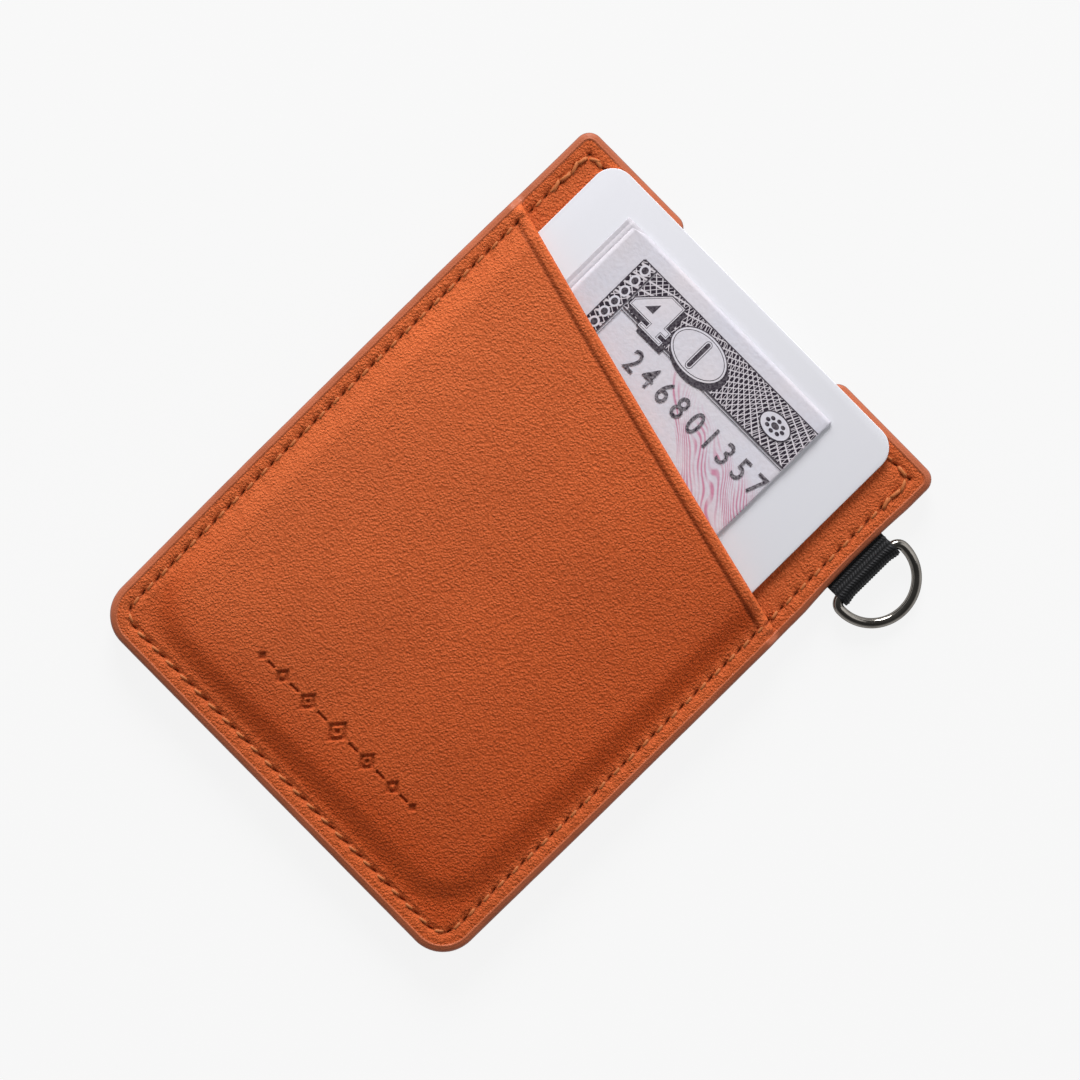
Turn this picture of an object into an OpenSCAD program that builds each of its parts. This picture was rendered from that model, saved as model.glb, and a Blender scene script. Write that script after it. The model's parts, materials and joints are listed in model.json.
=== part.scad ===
/* [Body] */
// Width of the wallet across the short side
body_w = 66.4; // [60:0.2:76]
// Length of the wallet from the bottom seam to the horns
body_l = 92.4; // [90:0.2:104]
// Radius of the two bottom corners
bottom_corner_r = 5.2; // [4:0.1:7]
// Radius of the two top corners
top_corner_r = 2.0; // [1:0.1:3]

/* [Layers] */
// Thickness of the pocket leather
pocket_leather_t = 1.0; // [0.8:0.1:1.4]
// Thickness of the leather of the centre and back panels
panel_leather_t = 0.9; // [0.7:0.1:1.2]
// Thickness of the pocket linings
lining_t = 0.2; // [0.15:0.05:0.3]
// Thickness of the board between the two panels
board_t = 0.4; // [0.3:0.1:0.6]
// Thickness of the paint on the cut edges
paint_t = 0.2; // [0.1:0.05:0.3]

/* [Front pocket] */
// Height above the wallet's middle where the slanted mouth meets the left edge
mouth_left_y = 32.8; // [26:0.2:36]
// Height above the wallet's middle where the slanted mouth meets the right edge
mouth_right_y = 16.4; // [8:0.2:20]
// Height of the formed bulge above the seam
bulge_h = 2.2; // [1.8:0.1:3.5]
// Distance from the outer edge to the foot of the bulge
flange_w = 3.4; // [3.4:0.1:4.5]
// Width of the slope from the foot to the flat top of the bulge
slope_w = 3.4; // [3:0.1:6]

/* [Rear pocket] */
// Height above the wallet's middle of the rear pocket's straight mouth
rear_mouth_y = 20; // [5:0.5:22]

/* [Mouths] */
// Width of the tape that keeps each pocket's mouth from stretching
mouth_tape_w = 1.6; // [1.2:0.1:3]

/* [Thumb notch] */
// Width of the notch in the top edge, below its rounded shoulders
notch_w = 28.3; // [22:0.1:32]
// Depth of the notch below the top edge
notch_d = 11; // [10.7:0.1:14]
// Radius of the notch's two bottom corners
notch_r = 7.5; // [4:0.1:8]
// Radius of the shoulders where the notch meets the top edge
shoulder_r = 1.85; // [1:0.05:2.5]

/* [Seams] */
// Distance from the outer edge to the seam line
seam_inset = 2.7; // [2.5:0.1:3]
// Distance from one needle hole to the next
stitch_pitch = 2.65; // [2.2:0.05:3.2]
// Visible length of one stitch
stitch_l = 2.1; // [1.6:0.1:2.1]
// Diameter of the sewing thread
thread_d = 0.5; // [0.4:0.05:0.6]

/* [Tab and ring] */
// Width of the woven tape
tape_w = 10.2; // [8:0.1:10.3]
// Thickness of one ply of the woven tape
tape_t = 0.45; // [0.35:0.05:0.5]
// Height of the tab's middle above the wallet's middle
tab_y = 30.8; // [28:0.2:32]
// Distance that the folded tape reaches into the seam
tail_l = 6; // [4.5:0.5:7]
// Distance from the wallet's edge to the middle of the ring's bar
bar_reach = 2.2; // [2:0.1:3]
// Diameter of the ring's wire
wire_d = 1.4; // [1.2:0.1:1.5]
// Width of the D ring between the middles of its two arms
ring_w = 11.9; // [11.9:0.1:14]
// Length of the straight arms between the bar and the round end
ring_arm = 1.36; // [1.1:0.02:3]

/* [Contents] */
// Length of the card
card_l = 85.6; // [85.6]
// Width of the card
card_w = 53.98; // [53.98]
// Thickness of the card
card_t = 0.76; // [0.5:0.02:0.84]
// Width of the folded banknote
note_w = 38.2; // [34:0.1:40]
// Length of the folded banknote
note_l = 66.3; // [62:0.1:72]
// Thickness of the folded banknote
note_t = 0.5; // [0.3:0.05:0.6]

/* [Hidden] */

$fn = 64;
hull_fn = 32;
eps = 0.01;
far = 200;

// Colours
leather_colour = [0.73, 0.34, 0.17];
paint_colour = [0.62, 0.33, 0.27];
thread_colour = [0.75, 0.45, 0.27];
lining_colour = [0.35, 0.22, 0.15];
board_colour = [0.55, 0.42, 0.30];
tape_colour = [0.05, 0.05, 0.05];
ring_colour = [0.30, 0.29, 0.28];
card_colour = [0.88, 0.88, 0.91];
note_colour = [0.78, 0.77, 0.78];

// Levels of the layers, from the face that the wallet lies on upwards
rear_lining_z = pocket_leather_t;
back_panel_z = rear_lining_z + lining_t;
board_z = back_panel_z + panel_leather_t;
centre_panel_z = board_z + board_t;
front_lining_z = centre_panel_z + panel_leather_t;
front_pocket_z = front_lining_z + lining_t;
flange_top_z = front_pocket_z + pocket_leather_t;
middle_z = (board_z + centre_panel_z) / 2;

// Edges of the body
edge_x = body_w / 2;
edge_y = body_l / 2;
mouth_angle = atan2(mouth_right_y - mouth_left_y, body_w);

// Seam lines
seam_x = edge_x - seam_inset;
seam_y = edge_y - seam_inset;
corner_seam_r = bottom_corner_r - seam_inset;
notch_seam_x = notch_w / 2 + seam_inset;
notch_seam_y = edge_y - notch_d - seam_inset;
notch_seam_r = notch_r + seam_inset;
least_r = 0.3;
channel_w = 1.0;
channel_d = thread_d + 0.05;
thread_sink = 0.02;

// Shallow dip of the right edge on both sides of the tab
dip_d = 0.35;
dip_l = 19;
dip_r = ((dip_l / 2) ^ 2 + dip_d ^ 2) / (2 * dip_d);

// Tab and ring
wire_r = wire_d / 2;
bar_clearance = 0.06;
loop_bore_r = wire_r + bar_clearance;
loop_outer_r = loop_bore_r + tape_t;
tab_edge_x = edge_x - dip_d;
bar_x = tab_edge_x + bar_reach;
tab_hinge_x = tab_edge_x + tape_t + 0.05;
tail_end_x = tab_edge_x;
slot_side = 0.1;
ring_corner_r = 1.0;
ring_r = ring_w / 2;
ring_reach = ring_arm + ring_r;
ring_droop = asin((middle_z - wire_r) / ring_reach);
ring_split = 0.15;

// Card and banknote, inside the front pocket
card_corner_r = 3.18;
card_x = -0.67;
card_top_y = edge_y - 0.8;
card_z = front_lining_z + 0.1;
note_x = -1.5;
note_top_y = edge_y - 4.8;
note_z = card_z + card_t + 0.07;
ply_t = note_t / 4;

// ---- Outlines -------------------------------------------------------------------------------

// Rectangle from the low to the high corner, with its four corners rounded
module round_rect(low, high, low_r, high_r) {
    translate([low.x, low.y + low_r]) square([high.x - low.x, high.y - low.y - low_r - high_r]);
    translate([low.x + low_r, low.y]) square([high.x - low.x - 2 * low_r, low_r + eps]);
    translate([low.x + high_r, high.y - high_r - eps]) square([high.x - low.x - 2 * high_r, high_r + eps]);
    for (x = [low.x + low_r, high.x - low_r]) translate([x, low.y + low_r]) circle(low_r);
    for (x = [low.x + high_r, high.x - high_r]) translate([x, high.y - high_r]) circle(high_r);
}

// The thumb notch, grown by the given amount on every side
module notch(grow) {
    half = notch_w / 2 + grow;
    floor_y = edge_y - notch_d - grow;
    r = notch_r + grow;
    bend = max(shoulder_r - grow, least_r);
    top = edge_y - grow;
    translate([-half, floor_y + r]) square([2 * half, far]);
    translate([-half + r, floor_y]) square([2 * (half - r), r + eps]);
    for (side = [-1, 1]) {
        translate([side * (half - r), floor_y + r]) circle(r);
        difference() {
            translate([side * (half + bend / 2), top + far / 2 - bend]) square([bend, far], center = true);
            translate([side * (half + bend), top - bend]) circle(bend);
        }
    }
}

// Outline of the wallet drawn in by the given amount, with straight sides
module straight_outline(inset) {
    round_rect(
        [-edge_x + inset, -edge_y + inset],
        [edge_x - inset, edge_y - inset],
        bottom_corner_r - inset,
        max(top_corner_r - inset, least_r)
    );
}

// Outline of the wallet with its dip and its notch, drawn in by the given amount
module outline(inset, with_notch = true) {
    difference() {
        straight_outline(inset);
        translate([edge_x - dip_d + dip_r - inset, tab_y]) circle(dip_r, $fn = 360);
        if (with_notch) notch(inset);
    }
}

// Half plane below the slanted mouth of the front pocket, lowered by the given amount
module below_mouth(drop = 0) {
    translate([-edge_x, mouth_left_y]) rotate(mouth_angle) translate([-far, -drop - 2 * far]) square(2 * far);
}

// Half plane below the straight mouth of the rear pocket, lowered by the given amount
module below_rear_mouth(drop = 0) {
    translate([-far, rear_mouth_y - drop - 2 * far]) square(2 * far);
}

// Strips along the two mouths, as wide as the tape in them
module mouth_strip() {
    difference() {
        below_mouth();
        below_mouth(mouth_tape_w);
    }
}

module rear_mouth_strip() {
    difference() {
        below_rear_mouth();
        below_rear_mouth(mouth_tape_w);
    }
}

// Ring-shaped groove that the stitches lie in
module channel() {
    difference() {
        straight_outline(seam_inset - channel_w / 2);
        difference() {
            straight_outline(seam_inset + channel_w / 2);
            notch(seam_inset + channel_w / 2);
        }
        notch(seam_inset - channel_w / 2);
    }
}

// ---- Seam paths ------------------------------------------------------------------------------

// A path is a list of pieces [start, heading, length, turn], where turn is the radius of a left
// turn (positive), of a right turn (negative), or 0 for a straight run.
side_path = [
    [[-seam_x, seam_y], -90, 2 * seam_y - corner_seam_r, 0],
    [[-seam_x, -seam_y + corner_seam_r], -90, corner_seam_r * PI / 2, corner_seam_r],
    [[-seam_x + corner_seam_r, -seam_y], 0, 2 * (seam_x - corner_seam_r), 0],
    [[seam_x - corner_seam_r, -seam_y], 0, corner_seam_r * PI / 2, corner_seam_r],
    [[seam_x, -seam_y + corner_seam_r], 90, 2 * seam_y - corner_seam_r, 0]
];
horn_l = seam_x - notch_seam_x;
notch_leg = seam_y - notch_seam_y - notch_seam_r;
left_horn_path = [[[-seam_x, seam_y], 0, horn_l, 0]];
right_horn_path = [[[notch_seam_x, seam_y], 0, horn_l, 0]];
notch_path = [
    [[-notch_seam_x, seam_y], -90, notch_leg, 0],
    [[-notch_seam_x, seam_y - notch_leg], -90, notch_seam_r * PI / 2, notch_seam_r],
    [[-notch_seam_x + notch_seam_r, notch_seam_y], 0, 2 * (notch_seam_x - notch_seam_r), 0],
    [[notch_seam_x - notch_seam_r, notch_seam_y], 0, notch_seam_r * PI / 2, notch_seam_r],
    [[notch_seam_x, seam_y - notch_leg], 90, notch_leg, 0]
];

function path_length(path, i = 0) = i < len(path) ? path[i][2] + path_length(path, i + 1) : 0;

// Point and heading on one piece of a path, at the given distance from the piece's start
function on_piece(piece, s) =
    let (start = piece[0], heading = piece[1], turn = piece[3])
    turn == 0
        ? [start + s * [cos(heading), sin(heading)], heading]
        : let (swept = s / turn * 180 / PI, centre = start + turn * [-sin(heading), cos(heading)])
          [centre + turn * [sin(heading + swept), -cos(heading + swept)], heading + swept];

// Point and heading on a whole path
function on_path(path, s, i = 0) =
    s <= path[i][2] || i == len(path) - 1 ? on_piece(path[i], s) : on_path(path, s - path[i][2], i + 1);

// Height of the slanted mouth's line above a point, and of the straight mouth's
function mouth_over(p) = mouth_left_y + (p.x + edge_x) * tan(mouth_angle) - p.y;
function rear_mouth_over(p) = rear_mouth_y - p.y;

// Stitches along a path. Each lies on the outer layer at its place: on the pocket where any part
// of it is over the pocket, and on the panel beyond.
module stitches(path, front) {
    count = floor(path_length(path) / stitch_pitch);
    pitch = path_length(path) / count;
    depth = thread_d / 2 + thread_sink;
    for (i = [0 : count - 1]) {
        place = on_path(path, (i + 0.5) * pitch);
        over = (front ? mouth_over(place[0]) : rear_mouth_over(place[0])) > -(stitch_l + thread_d) / 2;
        z = front
            ? (over ? flange_top_z : front_lining_z) - depth
            : (over ? 0 : back_panel_z) + depth;
        translate([place[0].x, place[0].y, z])
            rotate([0, 90, place[1]])
                cylinder(d = thread_d, h = stitch_l, center = true, $fn = 24);
    }
}

module side_seam(front) {
    color(thread_colour) stitches(side_path, front);
}

module top_seam(front) {
    color(thread_colour) for (path = [left_horn_path, notch_path, right_horn_path]) stitches(path, front);
}

// ---- Leather, linings and board ----------------------------------------------------------------

// One flat layer of the wallet
module layer(z, t, with_notch = true) {
    translate([0, 0, z]) linear_extrude(t) outline(paint_t, with_notch);
}

// Solid under the bulge of the front pocket, its foot at the given height
module dome(foot_z) {
    steps = [[0, 0], [0.3, 0.62], [0.62, 0.9], [1, 1]];
    hull() for (step = steps) {
        inset = flange_w + slope_w * step[0];
        translate([0, 0, foot_z + (bulge_h - eps) * step[1]])
            linear_extrude(eps)
                round_rect([-edge_x + inset, -edge_y + inset], [edge_x - inset, edge_y + 20], 3, 3, $fn = hull_fn);
    }
}

// What the two mouths and the folded tape take out of the layers
module above(z) {
    translate([0, 0, z]) linear_extrude(far) children();
}

module tab_slot() {
    translate([tail_end_x - tail_l - slot_side, tab_y - tape_w / 2 - slot_side, middle_z - tape_t])
        cube([far, tape_w + 2 * slot_side, 2 * tape_t]);
}

module rear_pocket() {
    color(leather_colour) difference() {
        linear_extrude(pocket_leather_t) intersection() {
            outline(paint_t, false);
            below_rear_mouth();
        }
        translate([0, 0, -eps]) linear_extrude(channel_d + eps) channel();
    }
}

module rear_pocket_lining() {
    color(lining_colour) translate([0, 0, rear_lining_z]) linear_extrude(lining_t) intersection() {
        outline(paint_t, false);
        below_rear_mouth(mouth_tape_w);
    }
}

module rear_mouth_tape() {
    color(tape_colour) translate([0, 0, rear_lining_z]) linear_extrude(lining_t) intersection() {
        outline(paint_t, false);
        rear_mouth_strip();
    }
}

module back_panel() {
    color(leather_colour) difference() {
        layer(back_panel_z, panel_leather_t);
        translate([0, 0, back_panel_z - eps]) linear_extrude(channel_d + eps) difference() {
            channel();
            below_rear_mouth();
        }
        tab_slot();
    }
}

module core_board() {
    color(board_colour) difference() {
        translate([0, 0, board_z]) linear_extrude(board_t) outline(paint_t);
        tab_slot();
    }
}

module centre_panel() {
    color(leather_colour) difference() {
        layer(centre_panel_z, panel_leather_t);
        above(front_lining_z - channel_d) difference() {
            channel();
            below_mouth();
        }
        tab_slot();
    }
}

// Thin domed layer inside the front pocket, cut to the given strip or half plane
module front_inner_layer() {
    intersection() {
        difference() {
            union() {
                translate([0, 0, front_lining_z]) linear_extrude(lining_t) outline(paint_t, false);
                dome(front_pocket_z);
            }
            dome(front_lining_z);
        }
        linear_extrude(far) children();
    }
}

module front_pocket_lining() {
    color(lining_colour) front_inner_layer() below_mouth(mouth_tape_w);
}

module front_mouth_tape() {
    color(tape_colour) front_inner_layer() mouth_strip();
}

module front_pocket() {
    color(leather_colour) intersection() {
        difference() {
            union() {
                translate([0, 0, front_pocket_z]) linear_extrude(pocket_leather_t) outline(paint_t, false);
                dome(flange_top_z);
            }
            dome(front_pocket_z);
            above(flange_top_z - channel_d) channel();
        }
        linear_extrude(far) below_mouth();
    }
}

// The paint covers the cut edges of all the layers that are present at each place
module edge_paint() {
    module band(with_notch) {
        difference() {
            outline(0, with_notch);
            outline(paint_t, with_notch);
        }
    }
    color(paint_colour) difference() {
        union() {
            translate([0, 0, back_panel_z]) linear_extrude(front_lining_z - back_panel_z) band(true);
            translate([0, 0, front_lining_z - eps])
                linear_extrude(flange_top_z - front_lining_z + eps) intersection() {
                    band(false);
                    below_mouth();
                }
            translate([0, 0, 0]) linear_extrude(back_panel_z + eps) intersection() {
                band(false);
                below_rear_mouth();
            }
        }
        tab_slot();
    }
}

// ---- Tab and ring --------------------------------------------------------------------------------

// Folded end of the tape, sewn into the seam
module tab_tail() {
    color(tape_colour)
        translate([tail_end_x - tail_l, tab_y - tape_w / 2, middle_z - tape_t])
            cube([tail_l, tape_w, 2 * tape_t]);
}

// Round-ended wedge along Z between two cylinders on the X axis. Its straight sides start a little
// inside the cylinders, so that they cross the round faces instead of grazing them.
module tangent_wedge(x1, r1, x2, r2, length) {
    lean = asin((r2 - r1) / (x2 - x1));
    side = 0.97 * [-sin(lean), cos(lean)];
    a = [x1, 0] + r1 * side;
    b = [x2, 0] + r2 * side;
    linear_extrude(length) polygon([a, b, [b.x, -b.y], [a.x, -a.y]]);
    translate([x1, 0, 0]) cylinder(r = r1, h = length);
    translate([x2, 0, 0]) cylinder(r = r2, h = length);
}

// Loop of tape round the ring's bar, from its flexing root outwards
module tab_loop() {
    pinch_x = tab_hinge_x + 0.45;
    pinch_r = 0.1;
    color(tape_colour) translate([0, tab_y + tape_w / 2, middle_z]) rotate([90, 0, 0]) difference() {
        tangent_wedge(tab_hinge_x, tape_t, bar_x, loop_outer_r, tape_w);
        translate([0, 0, -eps]) tangent_wedge(pinch_x, pinch_r, bar_x, loop_bore_r, tape_w + 2 * eps);
    }
}

// Wire bent through the given angle about the Z axis, from the X axis onwards
module bend(radius, angle) {
    rotate_extrude(angle = angle) translate([radius, 0]) circle(wire_r, $fn = 32);
}

module rod(length) {
    rotate([0, 90, 0]) cylinder(r = wire_r, h = length, $fn = 32);
}

// D ring, resting with its round end on the surface that the wallet lies on
module d_ring() {
    half = ring_w / 2;
    color(ring_colour) translate([bar_x, tab_y, middle_z]) rotate([0, ring_droop, 0]) difference() {
        union() {
            translate([0, -half + ring_corner_r, 0]) rotate(90) rod(ring_w - 2 * ring_corner_r);
            for (side = [-1, 1]) {
                translate([ring_corner_r, side * half, 0]) rod(ring_arm - ring_corner_r);
                translate([ring_corner_r, side * (half - ring_corner_r), 0])
                    rotate(side > 0 ? 90 : 180) bend(ring_corner_r, 90);
            }
            translate([ring_arm, 0, 0]) rotate(-90) bend(half, 180);
        }
        translate([-wire_d, -ring_split / 2, -wire_d]) cube([2 * wire_d, ring_split, 2 * wire_d]);
    }
}

// ---- Contents ------------------------------------------------------------------------------------

module card() {
    low = [card_x - card_w / 2, card_top_y - card_l];
    color(card_colour) translate([0, 0, card_z]) linear_extrude(card_t)
        round_rect(low, low + [card_w, card_l], card_corner_r, card_corner_r);
}

// Banknote folded in four: the plies step back a little at the open side on the left
module banknote() {
    step = 0.25;
    color(note_colour) for (i = [0 : 3])
        translate([note_x - note_w / 2 + step * (i % 2), note_top_y - note_l, note_z + i * ply_t])
            cube([note_w - step * (i % 2), note_l, ply_t]);
}

rear_pocket();
rear_pocket_lining();
rear_mouth_tape();
back_panel();
core_board();
centre_panel();
front_pocket_lining();
front_mouth_tape();
front_pocket();
edge_paint();
side_seam(true);  // side_seam_needle_thread
side_seam(false);  // side_seam_bobbin_thread
top_seam(true);  // top_seam_needle_thread
top_seam(false);  // top_seam_bobbin_thread
tab_tail();
tab_loop();
d_ring();
card();
banknote();
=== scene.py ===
"""Looks of a slim leather card wallet with a slanted pocket, a thumb notch and a D ring on a woven tab."""

import json
import math

import bmesh
import bpy
from bpy.props import FloatProperty, FloatVectorProperty, IntProperty, PointerProperty
from mathutils import Matrix, Vector, noise


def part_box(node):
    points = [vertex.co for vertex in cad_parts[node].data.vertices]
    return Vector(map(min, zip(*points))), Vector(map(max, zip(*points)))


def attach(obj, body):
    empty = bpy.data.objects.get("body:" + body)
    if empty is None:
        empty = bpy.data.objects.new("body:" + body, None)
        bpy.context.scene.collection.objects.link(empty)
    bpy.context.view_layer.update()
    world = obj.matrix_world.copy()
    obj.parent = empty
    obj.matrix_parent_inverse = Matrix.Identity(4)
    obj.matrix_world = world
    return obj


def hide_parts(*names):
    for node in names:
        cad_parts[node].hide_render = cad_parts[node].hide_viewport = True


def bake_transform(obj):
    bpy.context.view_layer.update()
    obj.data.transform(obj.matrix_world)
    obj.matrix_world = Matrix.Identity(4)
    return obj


bl_info = {
    "name": "Card Wallet",
    "version": (1, 0, 0),
    "blender": (4, 5, 0),
    "location": "3D View > Sidebar > Wallet",
    "description": "Builds the leather, seams, tab, ring, card and banknote of a card wallet",
    "category": "Add Mesh",
}

MM = 0.001  # millimetres to metres: the pieces are worked out in millimetres

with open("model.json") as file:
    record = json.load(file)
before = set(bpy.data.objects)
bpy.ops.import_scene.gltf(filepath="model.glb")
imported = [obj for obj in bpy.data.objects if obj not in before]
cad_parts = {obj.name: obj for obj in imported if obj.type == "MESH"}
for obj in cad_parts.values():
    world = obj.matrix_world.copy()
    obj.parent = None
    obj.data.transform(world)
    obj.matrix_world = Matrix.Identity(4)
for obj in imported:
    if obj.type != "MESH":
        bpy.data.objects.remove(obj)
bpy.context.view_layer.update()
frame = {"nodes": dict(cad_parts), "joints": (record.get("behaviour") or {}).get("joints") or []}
JOINTS = {joint["name"]: joint for joint in frame["joints"]}


def node_low(node):
    """Lowest corner of a CAD node, in millimetres."""
    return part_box(node)[0] / MM


def node_high(node):
    """Highest corner of a CAD node, in millimetres."""
    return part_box(node)[1] / MM


# ---- Places that come from the frame, in millimetres ------------------------------------------

HALF_W = node_high("edge_paint").x
HALF_L = node_high("edge_paint").y
FLANGE_TOP = node_high("edge_paint").z
BULGE_TOP = node_high("front_pocket").z
POCKET_BASE = node_high("front_mouth_tape").z - (BULGE_TOP - FLANGE_TOP)
PANEL_TOP = node_high("centre_panel").z
BOARD_LOW = node_low("core_board").z
BOARD_HIGH = node_high("core_board").z
PANEL_LOW = node_low("back_panel").z
REAR_POCKET_TOP = node_high("rear_pocket").z
REAR_MOUTH = node_high("rear_pocket").y
BAR = Vector(JOINTS["ring_swing"]["pos_m"]) / MM
HINGE = Vector(JOINTS["tab_flex"]["pos_m"]) / MM
TAPE_LOW = node_low("tab_tail")
TAPE_HIGH = node_high("tab_tail")
RING_LOW = node_low("d_ring")
RING_HIGH = node_high("d_ring")
CARD_LOW = node_low("card")
CARD_HIGH = node_high("card")
NOTE_LOW = node_low("banknote")
NOTE_HIGH = node_high("banknote")

# ---- Shape of the leather, in millimetres -------------------------------------------------------

BOTTOM_CORNER_R = 5.2
TOP_CORNER_R = 2.0
SEAM_INSET = 2.65
STITCH_PITCH = 2.65
NOTCH_HALF_W = 14.15
NOTCH_DEPTH = 11.0
NOTCH_R = 7.5
SHOULDER_R = 1.85
TAB_Y = BAR.y
DIP_DEPTH = 0.35
DIP_HALF_L = 9.5
MOUTH_LEFT = 32.8
MOUTH_SLOPE = math.radians(13.87)
MOUTH_BOW = 0.3
EDGE_R = 0.95
EDGE_CREST = 1.12
EDGE_FULLNESS = 2.9  # 2 rounds the edge as a circle, more keeps its top flatter
COVER = 0.15  # how far the leather stops short of the painted edge
HEM = 1.8  # from a pocket's mouth to the crease below it
HEM_REACH = 2.4  # from a pocket's mouth to where its cells get coarser
SEAM_REACH = 0.75  # half width of the fine cells along a seam
LINING_INSET = 0.6
PANEL_TAN = 0.22  # how brown the flat leather is
CARD_CORNER_R = 3.18
CARD_RIM_R = 0.09
SLANT_FOOT = -25.0  # below this height the front pocket's cells aren't slanted
FOLDS_X = 26.0  # where the folds beside the tab begin
FOLDS_Y = TAB_Y - 6.4
ORNAMENT = Vector((0.8, -34.0))

VIEW_CENTRE = Vector((1.57, 2.92))

# ---- Places of the print on the note, in millimetres --------------------------------------------

FOUR = Vector((-9.0, 35.1))
ZERO = Vector((-1.1, 35.1))
ROSETTE = Vector((12.7, 35.7))
DIGITS = Vector((-7.5, 26.9))
DIGIT_PITCH = 2.88
DIGIT_H = 3.3
BEAD_PITCH = 1.9
PRINT_Z = 0.01  # from one layer of print to the next

INNER_HIGH = Vector((HALF_W - COVER, HALF_L - COVER))
INNER_LOW = -INNER_HIGH


def smooth(t):
    """Eased step from 0 to 1 as t goes from 0 to 1."""
    t = min(max(t, 0.0), 1.0)
    return t * t * (3 - 2 * t)


def bell(x, width):
    """Bell curve of height 1, whose half width is the given one."""
    return math.exp(-((x / width) ** 2))


def lumps(x, y, size, seed=0.0):
    """Soft random height between about -1 and 1, with lumps of the given size."""
    return noise.noise(Vector((x / size, y / size, seed)))


class Route:
    """A flat line of straight runs and arcs, followed by its length."""

    def __init__(self, start, heading, moves):
        """moves lists (length, 0) for a straight run and (angle, radius) for a turn, to the left
        where the radius is positive."""
        self.pieces = []
        point, heading, along = Vector(start), math.radians(heading), 0.0
        for amount, radius in moves:
            length = abs(math.radians(amount) * radius) if radius else amount
            self.pieces.append((along, point.copy(), heading, length, radius))
            point, heading = self.on_piece(point, heading, length, radius)
            along += length
        self.length = along

    @staticmethod
    def on_piece(start, heading, length, radius):
        """Point and heading after a length of one piece."""
        if not radius:
            return start + length * Vector((math.cos(heading), math.sin(heading))), heading
        centre = start + radius * Vector((-math.sin(heading), math.cos(heading)))
        turned = heading + length / radius
        return centre + radius * Vector((math.sin(turned), -math.cos(turned))), turned

    def at(self, along):
        """Point and heading at a length from the start."""
        for begun, start, heading, length, radius in self.pieces:
            if along <= begun + length:
                break
        return self.on_piece(start, heading, min(along - begun, length), radius)

    def nearest(self, x, y):
        """Length along the route, and offset to the left of it, of the nearest point on it."""
        best = (1e9, 0.0, 0.0)
        for begun, start, heading, length, radius in self.pieces:
            rel = Vector((x, y)) - start
            ahead = Vector((math.cos(heading), math.sin(heading)))
            left = Vector((-ahead.y, ahead.x))
            if radius:
                from_centre = rel - radius * left
                swept = math.atan2(from_centre.dot(ahead), -from_centre.dot(left) * math.copysign(1, radius))
                here = min(max(swept * abs(radius), 0.0), length)
            else:
                here = min(max(rel.dot(ahead), 0.0), length)
            point, turned = self.on_piece(start, heading, here, radius)
            gap = Vector((x, y)) - point
            if gap.length < best[0]:
                side = gap.dot(Vector((-math.sin(turned), math.cos(turned))))
                best = (gap.length, begun + here, math.copysign(gap.length, side))
        return best[1], best[2]

    def stations(self, step):
        """Lengths along the route, about one step apart, with a station at every joint."""
        found = []
        for begun, _start, _heading, length, radius in self.pieces:
            count = max(6 if radius else 1, round(length / step))
            found += [begun + length * i / count for i in range(count)]
        return found


def seam_routes():
    """The side seam, and the three stretches of the top seam."""
    x, y = HALF_W - SEAM_INSET, HALF_L - SEAM_INSET
    r = BOTTOM_CORNER_R - SEAM_INSET
    side = Route((-x, y), -90, [(2 * y - r, 0), (90, r), (2 * (x - r), 0), (90, r), (2 * y - r, 0)])
    notch_x = NOTCH_HALF_W + SEAM_INSET
    notch_r = NOTCH_R + SEAM_INSET
    leg = y - (HALF_L - NOTCH_DEPTH - SEAM_INSET) - notch_r
    notch = Route(
        (-notch_x, y), -90, [(leg, 0), (90, notch_r), (2 * (notch_x - notch_r), 0), (90, notch_r), (leg, 0)]
    )
    return {
        "side": side,
        "left_horn": Route((-x, y), 0, [(x - notch_x, 0)]),
        "notch": notch,
        "right_horn": Route((notch_x, y), 0, [(x - notch_x, 0)]),
    }


def edge_route():
    """The wallet's outline with its notch, anticlockwise from the top left corner."""
    side = 2 * HALF_L - BOTTOM_CORNER_R - TOP_CORNER_R
    horn = HALF_W - TOP_CORNER_R - NOTCH_HALF_W - SHOULDER_R
    leg = NOTCH_DEPTH - NOTCH_R - SHOULDER_R
    return Route(
        (-HALF_W, HALF_L - TOP_CORNER_R),
        -90,
        [
            (side, 0),
            (90, BOTTOM_CORNER_R),
            (2 * (HALF_W - BOTTOM_CORNER_R), 0),
            (90, BOTTOM_CORNER_R),
            (side, 0),
            (90, TOP_CORNER_R),
            (horn, 0),
            (90, SHOULDER_R),
            (leg, 0),
            (90, -NOTCH_R),
            (2 * (NOTCH_HALF_W - NOTCH_R), 0),
            (90, -NOTCH_R),
            (leg, 0),
            (90, SHOULDER_R),
            (horn, 0),
            (90, TOP_CORNER_R),
        ],
    )


SEAMS = seam_routes()
TOP_SEAMS = [SEAMS["left_horn"], SEAMS["notch"], SEAMS["right_horn"]]


def pitch_of(route):
    """Distance from hole to hole that divides a seam into whole stitches."""
    return route.length / max(1, math.floor(route.length / STITCH_PITCH))


def corner_radius(y):
    """Radius of the outline's corner on this half of the wallet."""
    return BOTTOM_CORNER_R if y < 0 else TOP_CORNER_R


def depth_in(x, y):
    """Distance inside the wallet's rounded outline, leaving out the notch."""
    r = corner_radius(y)
    qx, qy = abs(x) - HALF_W + r, abs(y) - HALF_L + r
    return r - math.hypot(max(qx, 0.0), max(qy, 0.0)) - min(max(qx, qy), 0.0)


def notch_clearance(x, y):
    """Distance outside the thumb notch, and negative in it."""
    r = NOTCH_R
    qx = abs(x) - NOTCH_HALF_W + r
    qy = (HALF_L - NOTCH_DEPTH) - y + r
    return math.hypot(max(qx, 0.0), max(qy, 0.0)) + min(max(qx, qy), 0.0) - r


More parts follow.
